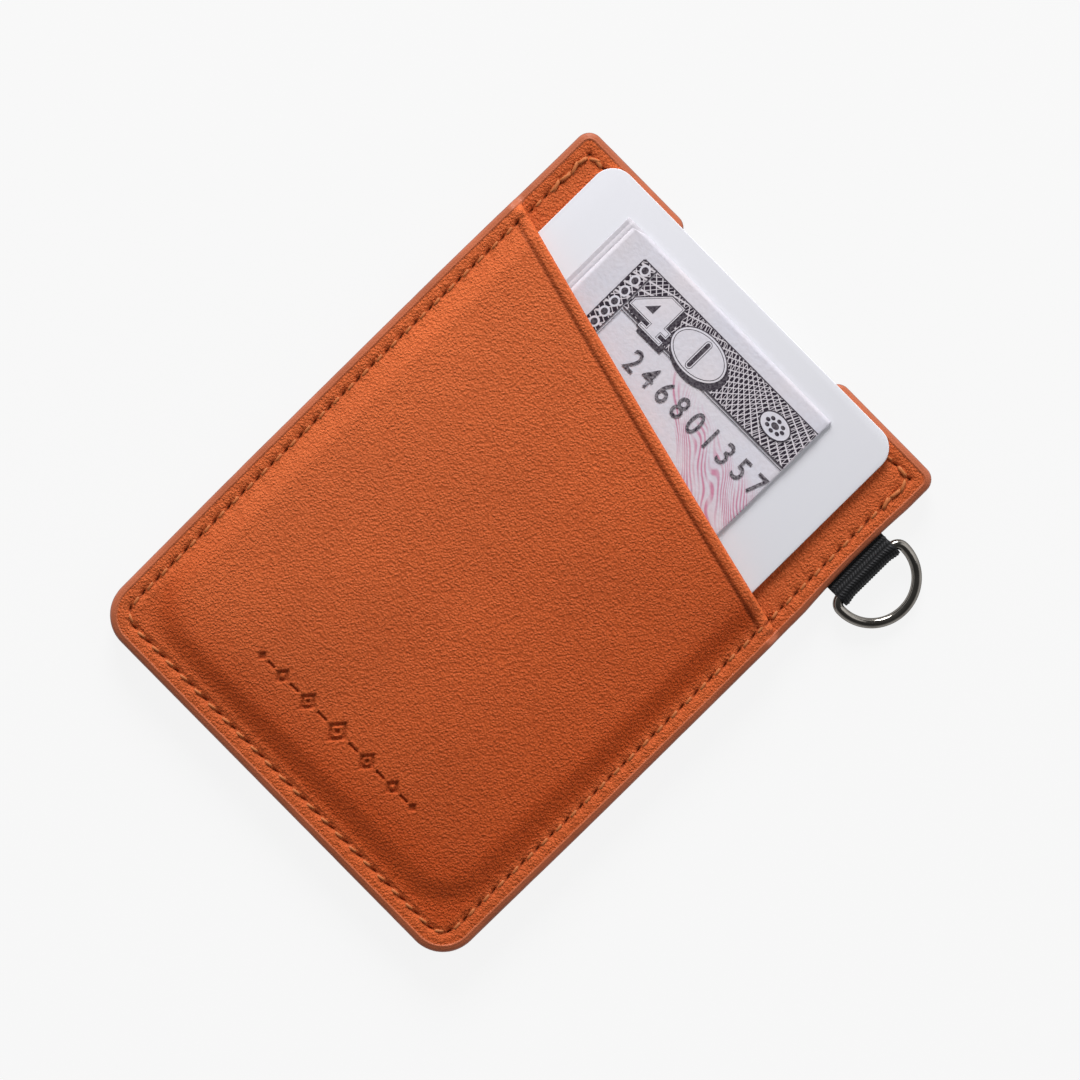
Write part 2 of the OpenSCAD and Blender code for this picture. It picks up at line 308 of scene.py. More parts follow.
def panel_depth(x, y):
    """Distance inside the outline with its notch, whose shoulders are round."""
    shoulder_x, shoulder_y = NOTCH_HALF_W + SHOULDER_R, HALF_L - SHOULDER_R
    if abs(x) < shoulder_x and y > shoulder_y:
        return SHOULDER_R - math.hypot(shoulder_x - abs(x), y - shoulder_y)
    return min(depth_in(x, y), notch_clearance(x, y))


def hand_made(x, y):
    """Slight bow of the sides, and the dip beside the tab, for a point of the wallet."""
    bowed = x * (1 - 0.007 * smooth((abs(y) - 14) / 32))
    dip = DIP_DEPTH * (1 - min(1.0, abs(y - TAB_Y) / DIP_HALF_L) ** 2)
    return bowed - dip * smooth((x - HALF_W + 2.2) / 2.2), y


def under_mouth(x, y):
    """Distance below the line of the front pocket's slanted mouth."""
    bow = MOUTH_BOW * math.cos(math.pi * x / (2 * HALF_W))
    return (MOUTH_LEFT - y) * math.cos(MOUTH_SLOPE) - (x + HALF_W) * math.sin(MOUTH_SLOPE) - bow


def mouth_at(x):
    """Height of the slanted mouth at x."""
    return MOUTH_LEFT + under_mouth(x, MOUTH_LEFT) / math.cos(MOUTH_SLOPE)


# ---- Relief of the leather ----------------------------------------------------------------------


def rolled(depth):
    """How far the surface has rolled down at this depth inside an edge."""
    inside = max(1 - max(depth, 0.0) / EDGE_R, 0.0)
    return EDGE_R * (1 - (1 - inside**EDGE_FULLNESS) ** (1 / EDGE_FULLNESS))


def seam_press(x, y):
    """How far the thread pulls the leather down, and the painted shade of the needle holes and the groove, at
    a point.
    """
    press, dark = 0.0, 0.0
    # Less painted shade in the holes of the bottom seam.
    shade = 0.9 - 0.4 * smooth((SEAM_INSET + 1 - HALF_L - y) / 0.8)
    for number, route in enumerate(SEAMS.values()):
        along, offset = route.nearest(x, y)
        if abs(offset) > 2.2:
            continue
        count = along / pitch_of(route)
        to_hole = (count - round(count)) * STITCH_PITCH
        wander = 0.07 * noise.noise(Vector((count * 0.9, number, 3.0)))
        across = offset - wander - 0.22 * to_hole
        groove = bell(across, 0.45)
        hole = bell(across, 0.12) * bell(to_hole, 0.55)
        pucker = bell(offset, 1.2) * bell(to_hole, 0.55)
        press = max(press, 0.13 * groove + 0.34 * hole + 0.12 * pucker)
        # Painted shade in the needle holes, and a faint painted shade along the groove.
        dark = max(dark, shade * hole + 0.05 * bell(across, 0.25))
    return press, dark


def contents_outside(x, y):
    """Distance outside the block of contents that the front pocket is formed over."""
    left, right, low, r = -26.9, 26.1, -38.7, 4.8
    qx = max(left + r - x, x - right + r)
    qy = low + r - y
    return math.hypot(max(qx, 0.0), max(qy, 0.0)) + min(max(qx, qy), 0.0) - r


def bulge(x, y, height):
    """Height of the formed pocket over its flange."""
    slope = 3.8
    rise = smooth(1 - contents_outside(x, y) / slope) ** 0.9
    crown = (1 - min(abs(x) / 30, 1) ** 2.7) * (1 - min(max(-y, 0.0) / 43, 1) ** 2.9)
    soft = 0.02 * lumps(x, y, 13, 1.0) + 0.008 * lumps(x, y, 5, 2.0)
    return height * rise * (0.3 + 0.65 * crown + soft)


def ornament(x, y):
    """Depth, from 0 to 1, of the pressed ornament: a row of lozenges joined by a fine line."""
    x, y = x - ORNAMENT.x, y - ORNAMENT.y
    if abs(x) > 15.6 or abs(y) > 2.2:
        return 0.0
    pressed = 0.0
    for centre, half in ((0.0, 1.8), (5.6, 1.5), (10.4, 1.2), (14.2, 0.7)):
        gap = (abs(abs(x) - centre) / (0.85 * half) + abs(y) / half - 1) * half * 0.65
        line = abs(gap + 0.24) - 0.24 if half > 0.8 else gap
        pressed = max(pressed, smooth(0.5 - line / 0.2))
        if half > 1.4:
            pressed = max(pressed, smooth(0.5 - (gap + half * 0.46) / 0.2))
    for low, high in ((2.1, 3.8), (7.4, 8.9), (11.9, 13.2)):
        if low < abs(x) < high:
            pressed = max(pressed, smooth(0.5 - (abs(y) - 0.17) / 0.16))
    return pressed


def mouth_end(under):
    """Step of the edge band, from 0 to 1, where the pocket's mouth meets it."""
    return smooth((under + 0.3) / 2.0)


def front_relief(x, y, height):
    """Top of the front pocket, and the painted shade in its needle holes, its hem crease and its pressed
    ornament.
    """
    depth, under = depth_in(x, y), under_mouth(x, y)
    press, dark = seam_press(x, y)
    swell = 0.09 * bell(depth - 1.75, 0.6) + 0.11 * bell(depth - 3.5, 0.24) * smooth((-y - 30) / 10)
    bead = 0.14 * smooth(under / 0.4) * smooth((1.75 - under) / 0.5) * smooth((depth - 1.2) / 1.5)
    crease = bell(under - HEM, 0.28) * smooth(depth - 2.3)
    stamped = ornament(x, y)
    lip = rolled(under * 1.5) * 0.75 * smooth((depth - 0.8) / 1.2)
    at_edge = mouth_end(under_mouth(math.copysign(HALF_W, x), y))
    ended = (PANEL_TOP - FLANGE_TOP) * (1 - at_edge) * smooth((1.9 - depth) / 0.9)
    z = FLANGE_TOP - 0.03 + bulge(x, y, height) + swell + bead - lip + ended
    z -= press + 0.2 * crease + 0.33 * stamped + rolled(depth)
    # Painted shade in the needle holes, in the crease below the hem and in the pressed ornament.
    return z, max(dark, 0.5 * crease, 0.2 * stamped)


def front_painted_light(x, y):
    """Painted light and shade on the front pocket: paler on the left, where the light falls, browner towards
    the right and the bottom and on the shaded slopes of the bulge there, and paler along the flange and on
    the hem.
    """
    depth = depth_in(x, y)
    # Painted light and shade: the leather turns browner towards the right and the bottom, away from the
    # light.
    painted_light_gradient = max(0.37 + x / 73 - (y + 5) / 230 + 0.25 * smooth((-y - 33) / 6), 0.0)
    far_side = smooth(x / 20) + smooth((-y - 20) / 18)
    # Painted shade on the slopes of the bulge on the right and the bottom.
    folded = 0.4 * min(far_side, 1.0) * bell(contents_outside(x, y) - 1.7, 1.7)
    tan = painted_light_gradient * (0.4 + 0.6 * smooth((depth - 2.8) / 1.6)) + folded
    return min(tan, 1.0) * smooth(under_mouth(x, y) / 2.2)


def front_underside(x, y, height):
    """Bottom of the front pocket's leather."""
    return POCKET_BASE + max(bulge(x, y, height) - 0.12, 0.0)


# ---- Mesh helpers -------------------------------------------------------------------------------


def to_outline(x, y):
    """Moves a point of a square-cornered leather sheet into its round-cornered outline."""
    centre_x, centre_y = HALF_W - corner_radius(y), HALF_L - corner_radius(y)
    r = corner_radius(y) - COVER
    a, b = (abs(x) - centre_x) / r, (abs(y) - centre_y) / r
    if a <= 0 or b <= 0:
        return x, y
    return (
        math.copysign(centre_x + r * a * math.sqrt(1 - b * b / 2), x),
        math.copysign(centre_y + r * b * math.sqrt(1 - a * a / 2), y),
    )


def into_outline(bm):
    """Rounds the corners of a square-cornered leather sheet."""
    for v in bm.verts:
        v.co.x, v.co.y = to_outline(v.co.x, v.co.y)


def slant(bm, whole=False):
    """Rounds the corners and slants a sheet's top edge along the front pocket's mouth."""
    for v in bm.verts:
        share = 1.0 if whole else smooth((v.co.y - SLANT_FOOT) / (MOUTH_LEFT - SLANT_FOOT))
        v.co.x, v.co.y = to_outline(v.co.x, v.co.y)
        v.co.y += share * (mouth_at(v.co.x) - MOUTH_LEFT)


def raise_faces(bm, height):
    """Closes a flat sheet into a plate of the given height."""
    made = bmesh.ops.extrude_face_region(bm, geom=bm.faces[:])
    raised = [item for item in made["geom"] if isinstance(item, bmesh.types.BMVert)]
    bmesh.ops.translate(bm, vec=(0, 0, height), verts=raised)


def slab(low, high, cell):
    """A closed flat slab of square cells, its bottom at z = 0 and its top at z = 1."""
    bm = bmesh.new()
    size = high - low
    counts = [max(2, round(side / cell)) for side in size]
    bmesh.ops.create_grid(bm, x_segments=counts[0], y_segments=counts[1], size=0.5)
    bmesh.ops.scale(bm, vec=(size.x, size.y, 1), verts=bm.verts)
    bmesh.ops.translate(bm, vec=((low + high) / 2).to_3d(), verts=bm.verts)
    raise_faces(bm, 1)
    return bm


def refine(bm, cuts, wanted):
    """Cuts the edges on a slab's top finer where wanted(x, y) is true."""
    edges = []
    for edge in bm.edges:
        a, b = (v.co for v in edge.verts)
        if a.z > 0.5 and b.z > 0.5 and wanted((a.x + b.x) / 2, (a.y + b.y) / 2):
            edges.append(edge)
    bmesh.ops.subdivide_edges(bm, edges=edges, cuts=cuts, use_grid_fill=True)


def near_seam(x, y, reach=SEAM_REACH):
    """Whether a point lies beside the stitches of the side seam."""
    return abs(depth_in(x, y) - SEAM_INSET) < reach


def shape(bm, top, bottom, tan=None):
    """Gives a slab its relief. top(x, y) returns height and painted shade, bottom(x, y) a height, and
    tan(x, y) the leather's tone from pale to brown, from 0 to 1, which paints light and shade on the front
    pocket."""
    # The crease layer holds painted shade; the other layer holds the leather's tone, and painted light and
    # shade on the front pocket.
    shade = bm.verts.layers.float.new("crease")
    browned = bm.verts.layers.float.new("browned")
    for v in bm.verts:
        x, y = v.co.x, v.co.y
        v[browned] = tan(x, y) if tan else PANEL_TAN
        if v.co.z > 0.5:
            v.co.z, v[shade] = top(x, y)
        else:
            v.co.z = bottom(x, y)
        v.co.x, v.co.y = hand_made(x, y)


def finish_piece(bm, name, body, material, replaces=(), recalculate=True):
    """Makes the object of a finished mesh, which is in millimetres."""
    if recalculate:
        bmesh.ops.recalc_face_normals(bm, faces=bm.faces)
    bmesh.ops.scale(bm, vec=(MM, MM, MM), verts=bm.verts)
    for face in bm.faces:
        face.smooth = True
    mesh = bpy.data.meshes.new(name)
    bm.to_mesh(mesh)
    bm.free()
    obj = bpy.data.objects.new(name, mesh)
    bpy.context.scene.collection.objects.link(obj)
    obj.data.materials.append(material)
    if body:
        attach(obj, body)
    if replaces:
        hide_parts(*replaces)
    return obj


def swept(bm, frames, section, closed=False):
    """Sweeps a closed section along frames. Each frame maps a section point to its place."""
    number = bm.verts.layers.int.new("number")
    ring = [bm.verts.new(frames[0](point)) for point in section]
    for index, v in enumerate(ring):
        v[number] = index
    first = edges = [bm.edges.new((a, b)) for a, b in zip(ring, ring[1:] + ring[:1])]
    for place in frames[1:]:
        made = bmesh.ops.extrude_edge_only(bm, edges=edges)
        for item in made["geom"]:
            if isinstance(item, bmesh.types.BMVert):
                item.co = place(section[item[number]])
        edges = [e for e in made["geom"] if isinstance(e, bmesh.types.BMEdge)]
        edges = [e for e in edges if len(e.link_faces) == 1]
    if closed:
        bmesh.ops.bridge_loops(bm, edges=first + edges)
    else:
        bmesh.ops.holes_fill(bm, edges=bm.edges, sides=len(section))


# ---- Node helpers -------------------------------------------------------------------------------


def add(tree, kind, inputs=None, **settings):
    """Adds a node with settings and input values."""
    node = tree.nodes.new(kind)
    for key, value in settings.items():
        setattr(node, key, value)
    for key, value in (inputs or {}).items():
        if isinstance(value, bpy.types.NodeSocket):
            tree.links.new(value, node.inputs[key])
        else:
            node.inputs[key].default_value = value
    return node


def math_node(tree, operation, a, b=None):
    """Adds a Math node and returns its output."""
    inputs = {0: a} if b is None else {0: a, 1: b}
    return add(tree, "ShaderNodeMath", inputs, operation=operation).outputs[0]


def times(tree, a, b):
    """Product of two values."""
    return math_node(tree, "MULTIPLY", a, b)


def plus(tree, a, b):
    """Sum of two values."""
    return math_node(tree, "ADD", a, b)


def mix_colour(tree, factor, a, b, blend="MIX"):
    """Adds a colour Mix node and returns its output."""
    inputs = {0: factor, 6: a, 7: b}
    return add(tree, "ShaderNodeMix", inputs, data_type="RGBA", blend_type=blend).outputs[2]


def mapped(tree, value, low, high, new_low, new_high):
    """Adds a Map Range node and returns its output."""
    inputs = {"Value": value, "From Min": low, "From Max": high, "To Min": new_low, "To Max": new_high}
    return add(tree, "ShaderNodeMapRange", inputs).outputs[0]


def new_group(name, inputs, outputs):
    """Starts a shader group and returns its tree, its input node and its output node."""
    tree = bpy.data.node_groups.new(name, "ShaderNodeTree")
    for label, kind, default in inputs:
        socket = tree.interface.new_socket(label, in_out="INPUT", socket_type=kind)
        if default is not None:
            socket.default_value = default
    for label, kind in outputs:
        tree.interface.new_socket(label, in_out="OUTPUT", socket_type=kind)
    return tree, tree.nodes.new("NodeGroupInput"), tree.nodes.new("NodeGroupOutput")


def wire(tree, node, **values):
    """Links values to a node's inputs, whose names are written with _ for a space."""
    for key, value in values.items():
        tree.links.new(value, node.inputs[key.replace("_", " ")])


def split_xyz(tree, vector):
    """The three parts of a vector."""
    return add(tree, "ShaderNodeSeparateXYZ", {0: vector}).outputs


def painted(tree, name):
    """Value of a vertex attribute."""
    return add(tree, "ShaderNodeAttribute", attribute_name=name).outputs["Fac"]


def noise_node(tree, vector, scale, detail):
    """Adds a Noise Texture node."""
    return add(tree, "ShaderNodeTexNoise", {"Vector": vector, "Scale": scale, "Detail": detail})


def combine(tree, operation, a, b):
    """Adds two vectors, or scales one."""
    inputs = {0: a, "Scale" if operation == "SCALE" else 1: b}
    return add(tree, "ShaderNodeVectorMath", inputs, operation=operation).outputs[0]


def mesh_uv(tree):
    """The UV map of the threads and the tape."""
    return add(tree, "ShaderNodeUVMap", uv_map="UVMap").outputs[0]


def built_once(blocks, name):
    """Decorator: the named data-block is built only where the file doesn't hold it yet."""

    def wrap(build):
        def get(*colours):
            return getattr(bpy.data, blocks).get(name) or build(name, *colours)

        return get

    return wrap


def use_group(tree, group, inputs):
    """Places a group in a tree."""
    return add(tree, "ShaderNodeGroup", inputs, node_tree=group)


@built_once("node_groups", "Fine grain")
def grain_group(name):
    """Fine pebbled grain: a height, and a mask of the valleys between the pebbles."""
    tree, given, result = new_group(
        name,
        [("Vector", "NodeSocketVector", None), ("Scale", "NodeSocketFloat", 2600.0)],
        [("Height", "NodeSocketFloat"), ("Valleys", "NodeSocketFloat")],
    )
    vector, scale = given.outputs["Vector"], given.outputs["Scale"]
    wander = noise_node(tree, vector, 900.0, 2.0).outputs["Color"]
    shift = combine(tree, "SCALE", combine(tree, "ADD", wander, (-0.5, -0.5, -0.5)), 0.00045)
    cell = {"Vector": combine(tree, "ADD", vector, shift), "Scale": scale, "Smoothness": 0.6}
    cells = add(tree, "ShaderNodeTexVoronoi", cell, feature="SMOOTH_F1")
    pebbles = mapped(tree, cells.outputs["Distance"], 0.05, 0.75, 1.0, 0.0)
    fine = times(tree, noise_node(tree, vector, 6500.0, 3.0).outputs[0], 0.8)
    wide = times(tree, noise_node(tree, vector, 1500.0, 3.0).outputs[0], 0.4)
    height = plus(tree, plus(tree, pebbles, fine), wide)
    wire(tree, result, Height=height, Valleys=mapped(tree, height, 0.6, 1.5, 1.0, 0.0))
    return tree


@built_once("node_groups", "Mottle")
def mottle_group(name):
    """Cloudy variation of colour at two sizes."""
    tree, given, result = new_group(
        name,
        [("Vector", "NodeSocketVector", None), ("Scale", "NodeSocketFloat", 60.0)],
        [("Clouds", "NodeSocketFloat"), ("Specks", "NodeSocketFloat")],
    )
    vector, scale = given.outputs["Vector"], given.outputs["Scale"]
    clouds = noise_node(tree, vector, scale, 4.0).outputs[0]
    specks = noise_node(tree, vector, times(tree, scale, 14.0), 2.0).outputs[0]
    clouds = mapped(tree, clouds, 0.3, 0.7, 0.0, 1.0)
    wire(tree, result, Clouds=clouds, Specks=mapped(tree, specks, 0.35, 0.7, 0.0, 1.0))
    return tree


def mottled(tree, place, scale):
    """Clouds and specks of colour at a scale."""
    node = use_group(tree, mottle_group(), {"Vector": place, "Scale": scale})
    return node.outputs["Clouds"], node.outputs["Specks"]


@built_once("node_groups", "Plain weave")
def weave_group(name):
    """Plain weave in UV coordinates: a height, and a mask of the gaps."""
    tree, given, result = new_group(
        name,
        [
            ("Vector", "NodeSocketVector", None),
            ("Along", "NodeSocketFloat", 1.0),
            ("Across", "NodeSocketFloat", 1.0),
        ],
        [("Height", "NodeSocketFloat"), ("Gaps", "NodeSocketFloat")],
    )
    parts = split_xyz(tree, given.outputs["Vector"])
    u = times(tree, parts[0], given.outputs["Along"])
    v = times(tree, parts[1], given.outputs["Across"])
    warp = math_node(tree, "SINE", times(tree, u, math.tau))
    weft = math_node(tree, "SINE", times(tree, v, math.tau))
    crossing = times(tree, warp, weft)
    height = mapped(tree, crossing, -1.0, 1.0, 0.0, 1.0)
    gaps = mapped(tree, math_node(tree, "ABSOLUTE", crossing), 0.0, 0.25, 1.0, 0.0)
    wire(tree, result, Height=height, Gaps=gaps)
    return tree


def new_material(name, **values):
    """Starts a material and returns it, its tree, its Principled shader and its object coordinates."""
    material = bpy.data.materials.new(name)
    material.use_nodes = True
    tree = material.node_tree
    shader = tree.nodes["Principled BSDF"]
    for key, value in values.items():
        shader.inputs[key.replace("_", " ")].default_value = value
    place = tree.nodes.new("ShaderNodeTexCoord").outputs["Object"]
    return material, tree, shader, place


def bumped(tree, shader, height, strength, distance):
    """Feeds a height to the shader's normal through a Bump node."""
    inputs = {"Strength": strength, "Distance": distance * MM, "Height": height}
    wire(tree, shader, Normal=add(tree, "ShaderNodeBump", inputs).outputs[0])


def shaded(colour, amount):
    """A colour made lighter or darker by a factor."""
    return (*(min(channel * amount, 1.0) for channel in colour[:3]), 1.0)


@built_once("materials", "Leather")
def leather_material(name, colours):
    """Vegetable-tanned leather with a fine pebbled grain, with painted shade in its grain valleys, needle
    holes and creases, and painted light and shade across the front pocket.
    """
    material, tree, shader, place = new_material(name, IOR=1.42, Specular_IOR_Level=0.18)
    grain = use_group(tree, grain_group(), {"Vector": place, "Scale": 3200.0})
    clouds, specks = mottled(tree, place, 55.0)
    # Between the pale and the brown leather: the panels' own tone, and painted light and shade on the front
    # pocket.
    browned = painted(tree, "browned")
    tan = mix_colour(tree, browned, colours.leather, colours.leather_brown)
    clouds = mix_colour(tree, clouds, (0.9, 0.9, 0.9, 1), (1.08, 1.08, 1.08, 1))
    cloudy = mix_colour(tree, 1.0, tan, clouds, "MULTIPLY")
    # Darker leather, for random specks and for painted shade in the grain's valleys.
    speck_and_valley_shade = mix_colour(tree, 1.0, tan, (0.6, 0.46, 0.36, 1), "MULTIPLY")
    speckled = mix_colour(tree, times(tree, specks, 0.16), cloudy, speck_and_valley_shade)
    # Painted shade in the valleys between the pebbles.
    valleys = times(tree, grain.outputs["Valleys"], 0.55)
    with_valley_shade = mix_colour(tree, valleys, speckled, speck_and_valley_shade)
    # Painted shade in the needle holes, creases and pressed ornament, in a near-black brown.
    crease = painted(tree, "crease")
    colour = mix_colour(tree, crease, with_valley_shade, (0.065, 0.007, 0.0004, 1))
    height = grain.outputs["Height"]
    wire(tree, shader, Base_Color=colour, Roughness=mapped(tree, height, 0.6, 1.8, 0.66, 0.5))
    bumped(tree, shader, height, 1.0, 0.13)
    return material


@built_once("materials", "Edge paint")
def edge_material(name, colours):
    """Smooth edge paint with a few burnished streaks, and painted shade down its outer side and along its
    bottom.
    """
    material, tree, shader, place = new_material(name, IOR=1.5, Specular_IOR_Level=0.2)
    clouds, specks = mottled(tree, place, 150.0)
    base = colours.edge
    paint = mix_colour(tree, clouds, shaded(base, 0.82), shaded(base, 1.12))
    worn = painted(tree, "wear")
    tone = mix_colour(tree, times(tree, worn, 0.55), paint, shaded(colours.leather, 0.85))
    # Painted shade: the crease layer darkens the band down its outer side and towards its bottom, in the dark
    # colour below.
    ridge = painted(tree, "crease")
    dark = (base[0] * 0.25, base[1] * 0.16, base[2] * 0.16, 1)
    rough = mapped(tree, specks, 0, 1, 0.36, 0.52)
    wire(tree, shader, Base_Color=mix_colour(tree, ridge, tone, dark), Roughness=rough)
    grain = use_group(tree, grain_group(), {"Vector": place, "Scale": 4200.0})
    bumped(tree, shader, grain.outputs["Height"], times(tree, worn, 0.9), 0.07)
    return material


@built_once("materials", "Thread")
def thread_material(name, colours):
    """Waxed twisted thread: the plies run round it, with a painted highlight on each ply and painted shade
    between them.
    """
    material, tree, shader, _place = new_material(name, Roughness=0.6, Specular_IOR_Level=0.25)
    parts = split_xyz(tree, mesh_uv(tree))
    turns = plus(tree, times(tree, parts[0], 3.0), times(tree, parts[1], 2.0))
    plies = math_node(tree, "ABSOLUTE", math_node(tree, "SINE", times(tree, turns, math.pi)))
    base = colours.thread
    # Painted highlight on the plies and painted shade between them: lit and shaded copies of the thread's
    # colour.
    wire(tree, shader, Base_Color=mix_colour(tree, plies, shaded(base, 0.6), shaded(base, 1.35)))
    bumped(tree, shader, plies, 0.8, 0.08)
    return material


@built_once("materials", "Webbing")
def webbing_material(name, colours):
    """Black woven tape, with a painted highlight on its raised threads and painted shade in its gaps and
    between its ribs.
    """
    material, tree, shader, _place = new_material(name, Roughness=0.55, Specular_IOR_Level=0.22)
    weave = use_group(tree, weave_group(), {"Vector": mesh_uv(tree), "Along": 2.4, "Across": 2.4})
    base = colours.webbing
    # Painted highlight and shade: the raised threads get a lit copy of the colour, the hollows a shaded one.
    tone = mix_colour(tree, weave.outputs["Height"], shaded(base, 0.15), shaded(base, 4.5))
    # Painted shade between the ribs, from the crease layer.
    wire(tree, shader, Base_Color=mix_colour(tree, painted(tree, "crease"), tone, shaded(base, 0.1)))
    bumped(tree, shader, weave.outputs["Height"], 0.5, 0.05)
    return material


@built_once("materials", "Lining")
def lining_material(name, colours):
    """Thin brown woven lining, with a painted highlight on its raised threads and painted shade between them.
    """
    material, tree, shader, place = new_material(name, Roughness=0.8)
    weave = use_group(tree, weave_group(), {"Vector": place, "Along": 2500.0, "Across": 2500.0})
    base = colours.lining
    height = weave.outputs["Height"]
    # Painted highlight and shade: lit and shaded copies of the lining's colour, by the weave's height.
    wire(tree, shader, Base_Color=mix_colour(tree, height, shaded(base, 0.6), shaded(base, 1.2)))
    bumped(tree, shader, height, 0.4, 0.04)
    return material


@built_once("materials", "Board")
def board_material(name, colours):
    """Fibrous grey-brown board."""
    material, tree, shader, place = new_material(name, Roughness=0.9)
    _clouds, specks = mottled(tree, place, 300.0)
    base = colours.board
    wire(tree, shader, Base_Color=mix_colour(tree, specks, shaded(base, 0.75), shaded(base, 1.15)))
    bumped(tree, shader, specks, 0.3, 0.05)
    return material


@built_once("materials", "Black nickel")
def metal_material(name, colours):
    """Polished black nickel with faint rubbing marks."""
    material, tree, shader, place = new_material(name, Metallic=1.0, Specular_Tint=(0.3, 0.3, 0.3, 1))
    clouds, specks = mottled(tree, place, 260.0)
    base = colours.metal
    tone = mix_colour(tree, clouds, shaded(base, 0.8), shaded(base, 1.25))
    rough = mapped(tree, specks, 0, 1, 0.08, 0.2)
    wire(tree, shader, Base_Color=tone, Roughness=rough)
    bumped(tree, shader, specks, 0.06, 0.03)
    return material


@built_once("materials", "Card")
def card_material(name, colours):
    """Smooth white card with the faintest tint."""
    material, tree, shader, place = new_material(name, IOR=1.4)
    clouds, specks = mottled(tree, place, 40.0)
    base = colours.card
    tone = mix_colour(tree, clouds, shaded(base, 0.985), base)
    rough = mapped(tree, specks, 0, 1, 0.55, 0.62)
    wire(tree, shader, Base_Color=tone, Roughness=rough)
    bumped(tree, shader, specks, 0.04, 0.01)
    return material


def flowing_lines(tree, place):
    """Mask of fine lines that flow in wavy bundles towards the lower right of the note."""
    flow = {"Vector": place, "Rotation": (0, 0, math.radians(43)), "Scale": (1 / MM, 1 / MM, 1 / MM)}
    turned = add(tree, "ShaderNodeMapping", flow).outputs[0]
    across = split_xyz(tree, turned)[1]
    long_waves = add(tree, "ShaderNodeMapping", {"Vector": turned, "Scale": (0.09, 0.2, 0.2)}).outputs[0]
    waves = noise_node(tree, long_waves, 1.0, 1.0).outputs[0]
    bent = plus(tree, across, times(tree, waves, 6.0))
    lines = math_node(tree, "SINE", times(tree, bent, 14.0))
    thin = mapped(tree, lines, -0.3, 0.7, 0.15, 1.0)
    tufts = add(tree, "ShaderNodeMapping", {"Vector": turned, "Scale": (0.16, 0.75, 1.0)}).outputs[0]
    bundle = mapped(tree, noise_node(tree, tufts, 1.0, 1.0).outputs[0], 0.4, 0.58, 0.22, 1.0)
    edge = mapped(tree, plus(tree, across, times(tree, waves, 2.5)), 22.4, 22.8, 0.0, 1.0)
    parts = split_xyz(tree, place)
    height = plus(tree, parts[1], times(tree, parts[0], 0.2))
    low = mapped(tree, height, 0.0318, 0.0295, 0.0, 1.0)
    return times(tree, times(tree, thin, bundle), times(tree, edge, low))


@built_once("materials", "Note paper")
def note_material(name, colours):
    """Cotton banknote paper with a lilac tint, fibres and a flowing pink ground print, with painted shade on
    the lower plies at the left and a faint darker line along its top edge.
    """
    material, tree, shader, place = new_material(name, Roughness=0.75)
    clouds, specks = mottled(tree, place, 120.0)
    base = colours.note
    cool = (base[0] * 0.93, base[1] * 0.99, base[2] * 1.04, 1)
    clouded = mix_colour(tree, clouds, base, cool)
    fibres = times(tree, specks, 0.3)
    tone = mix_colour(tree, fibres, clouded, shaded(base, 0.82))
    pink = times(tree, flowing_lines(tree, place), 0.85)
    printed = mix_colour(tree, pink, tone, (0.58, 0.17, 0.30, 1))
    # The crease layer darkens the paper: painted shade on the lower plies under the top one, and a faint
    # darker line along the top edge.
    wire(tree, shader, Base_Color=mix_colour(tree, painted(tree, "crease"), printed, shaded(base, 0.3)))
    bumped(tree, shader, specks, 0.35, 0.04)
    return material


def ink_material(colours, name, worn):
    """Printing ink, thin enough for the paper's fibres to show."""
    if name in bpy.data.materials:
        return bpy.data.materials[name]
    material, tree, shader, place = new_material(name, Roughness=0.7, Specular_IOR_Level=0.2)
    _clouds, specks = mottled(tree, place, 220.0)
    wire(tree, shader, Base_Color=mix_colour(tree, times(tree, specks, worn), colours.ink, colours.note))
    bumped(tree, shader, specks, 0.2, 0.02)
    return material


@built_once("materials", "Engraving")
def engraving_material(name, colours):
    """Dark band of crossing engraved rays."""
    material, tree, shader, place = new_material(name, Roughness=0.7, Specular_IOR_Level=0.2)
    parts = split_xyz(tree, place)
    x, y = times(tree, parts[0], 1 / MM), times(tree, parts[1], 1 / MM)
    rays = []
    for centre_x, centre_y, count in ((-4.0, 46.0, 130.0), (6.0, 20.0, 190.0), (17.0, 45.0, 130.0)):
        dx = math_node(tree, "SUBTRACT", x, centre_x)
        dy = math_node(tree, "SUBTRACT", y, centre_y)
        angle = math_node(tree, "ARCTAN2", dy, dx)
        rays.append(math_node(tree, "SINE", times(tree, angle, count)))
    mesh = math_node(tree, "MAXIMUM", math_node(tree, "MAXIMUM", rays[0], rays[1]), rays[2])
    thin = mapped(tree, mesh, 0.76, 0.95, 0.0, 0.92)
    wire(tree, shader, Base_Color=mix_colour(tree, thin, colours.ink, colours.note))
    bumped(tree, shader, thin, 0.2, 0.02)
    return material


# ---- Pieces -------------------------------------------------------------------------------------


def front_pocket(sizes):
    """Mesh of the front pocket: slanted mouth with a beaded hem, formed bulge, pressed ornament."""
    height = sizes.bulge_height / MM
    bm = slab(INNER_LOW, Vector((INNER_HIGH.x, MOUTH_LEFT)), sizes.cell / MM)
    slant(bm)
    refine(bm, 2, near_seam)
    refine(bm, 1, lambda x, y: under_mouth(x, y) < HEM_REACH and not near_seam(x, y, 0.9))
    refine(bm, 2, lambda x, y: abs(x - ORNAMENT.x) < 15.2 and abs(y - ORNAMENT.y) < 2.1)

    def underside(x, y):
        under = front_underside(x, y, height)
        return min(under, front_relief(x, y, height)[0] - 0.15) if depth_in(x, y) < 2 else under

    shape(bm, lambda x, y: front_relief(x, y, height), underside, front_painted_light)
    return bm


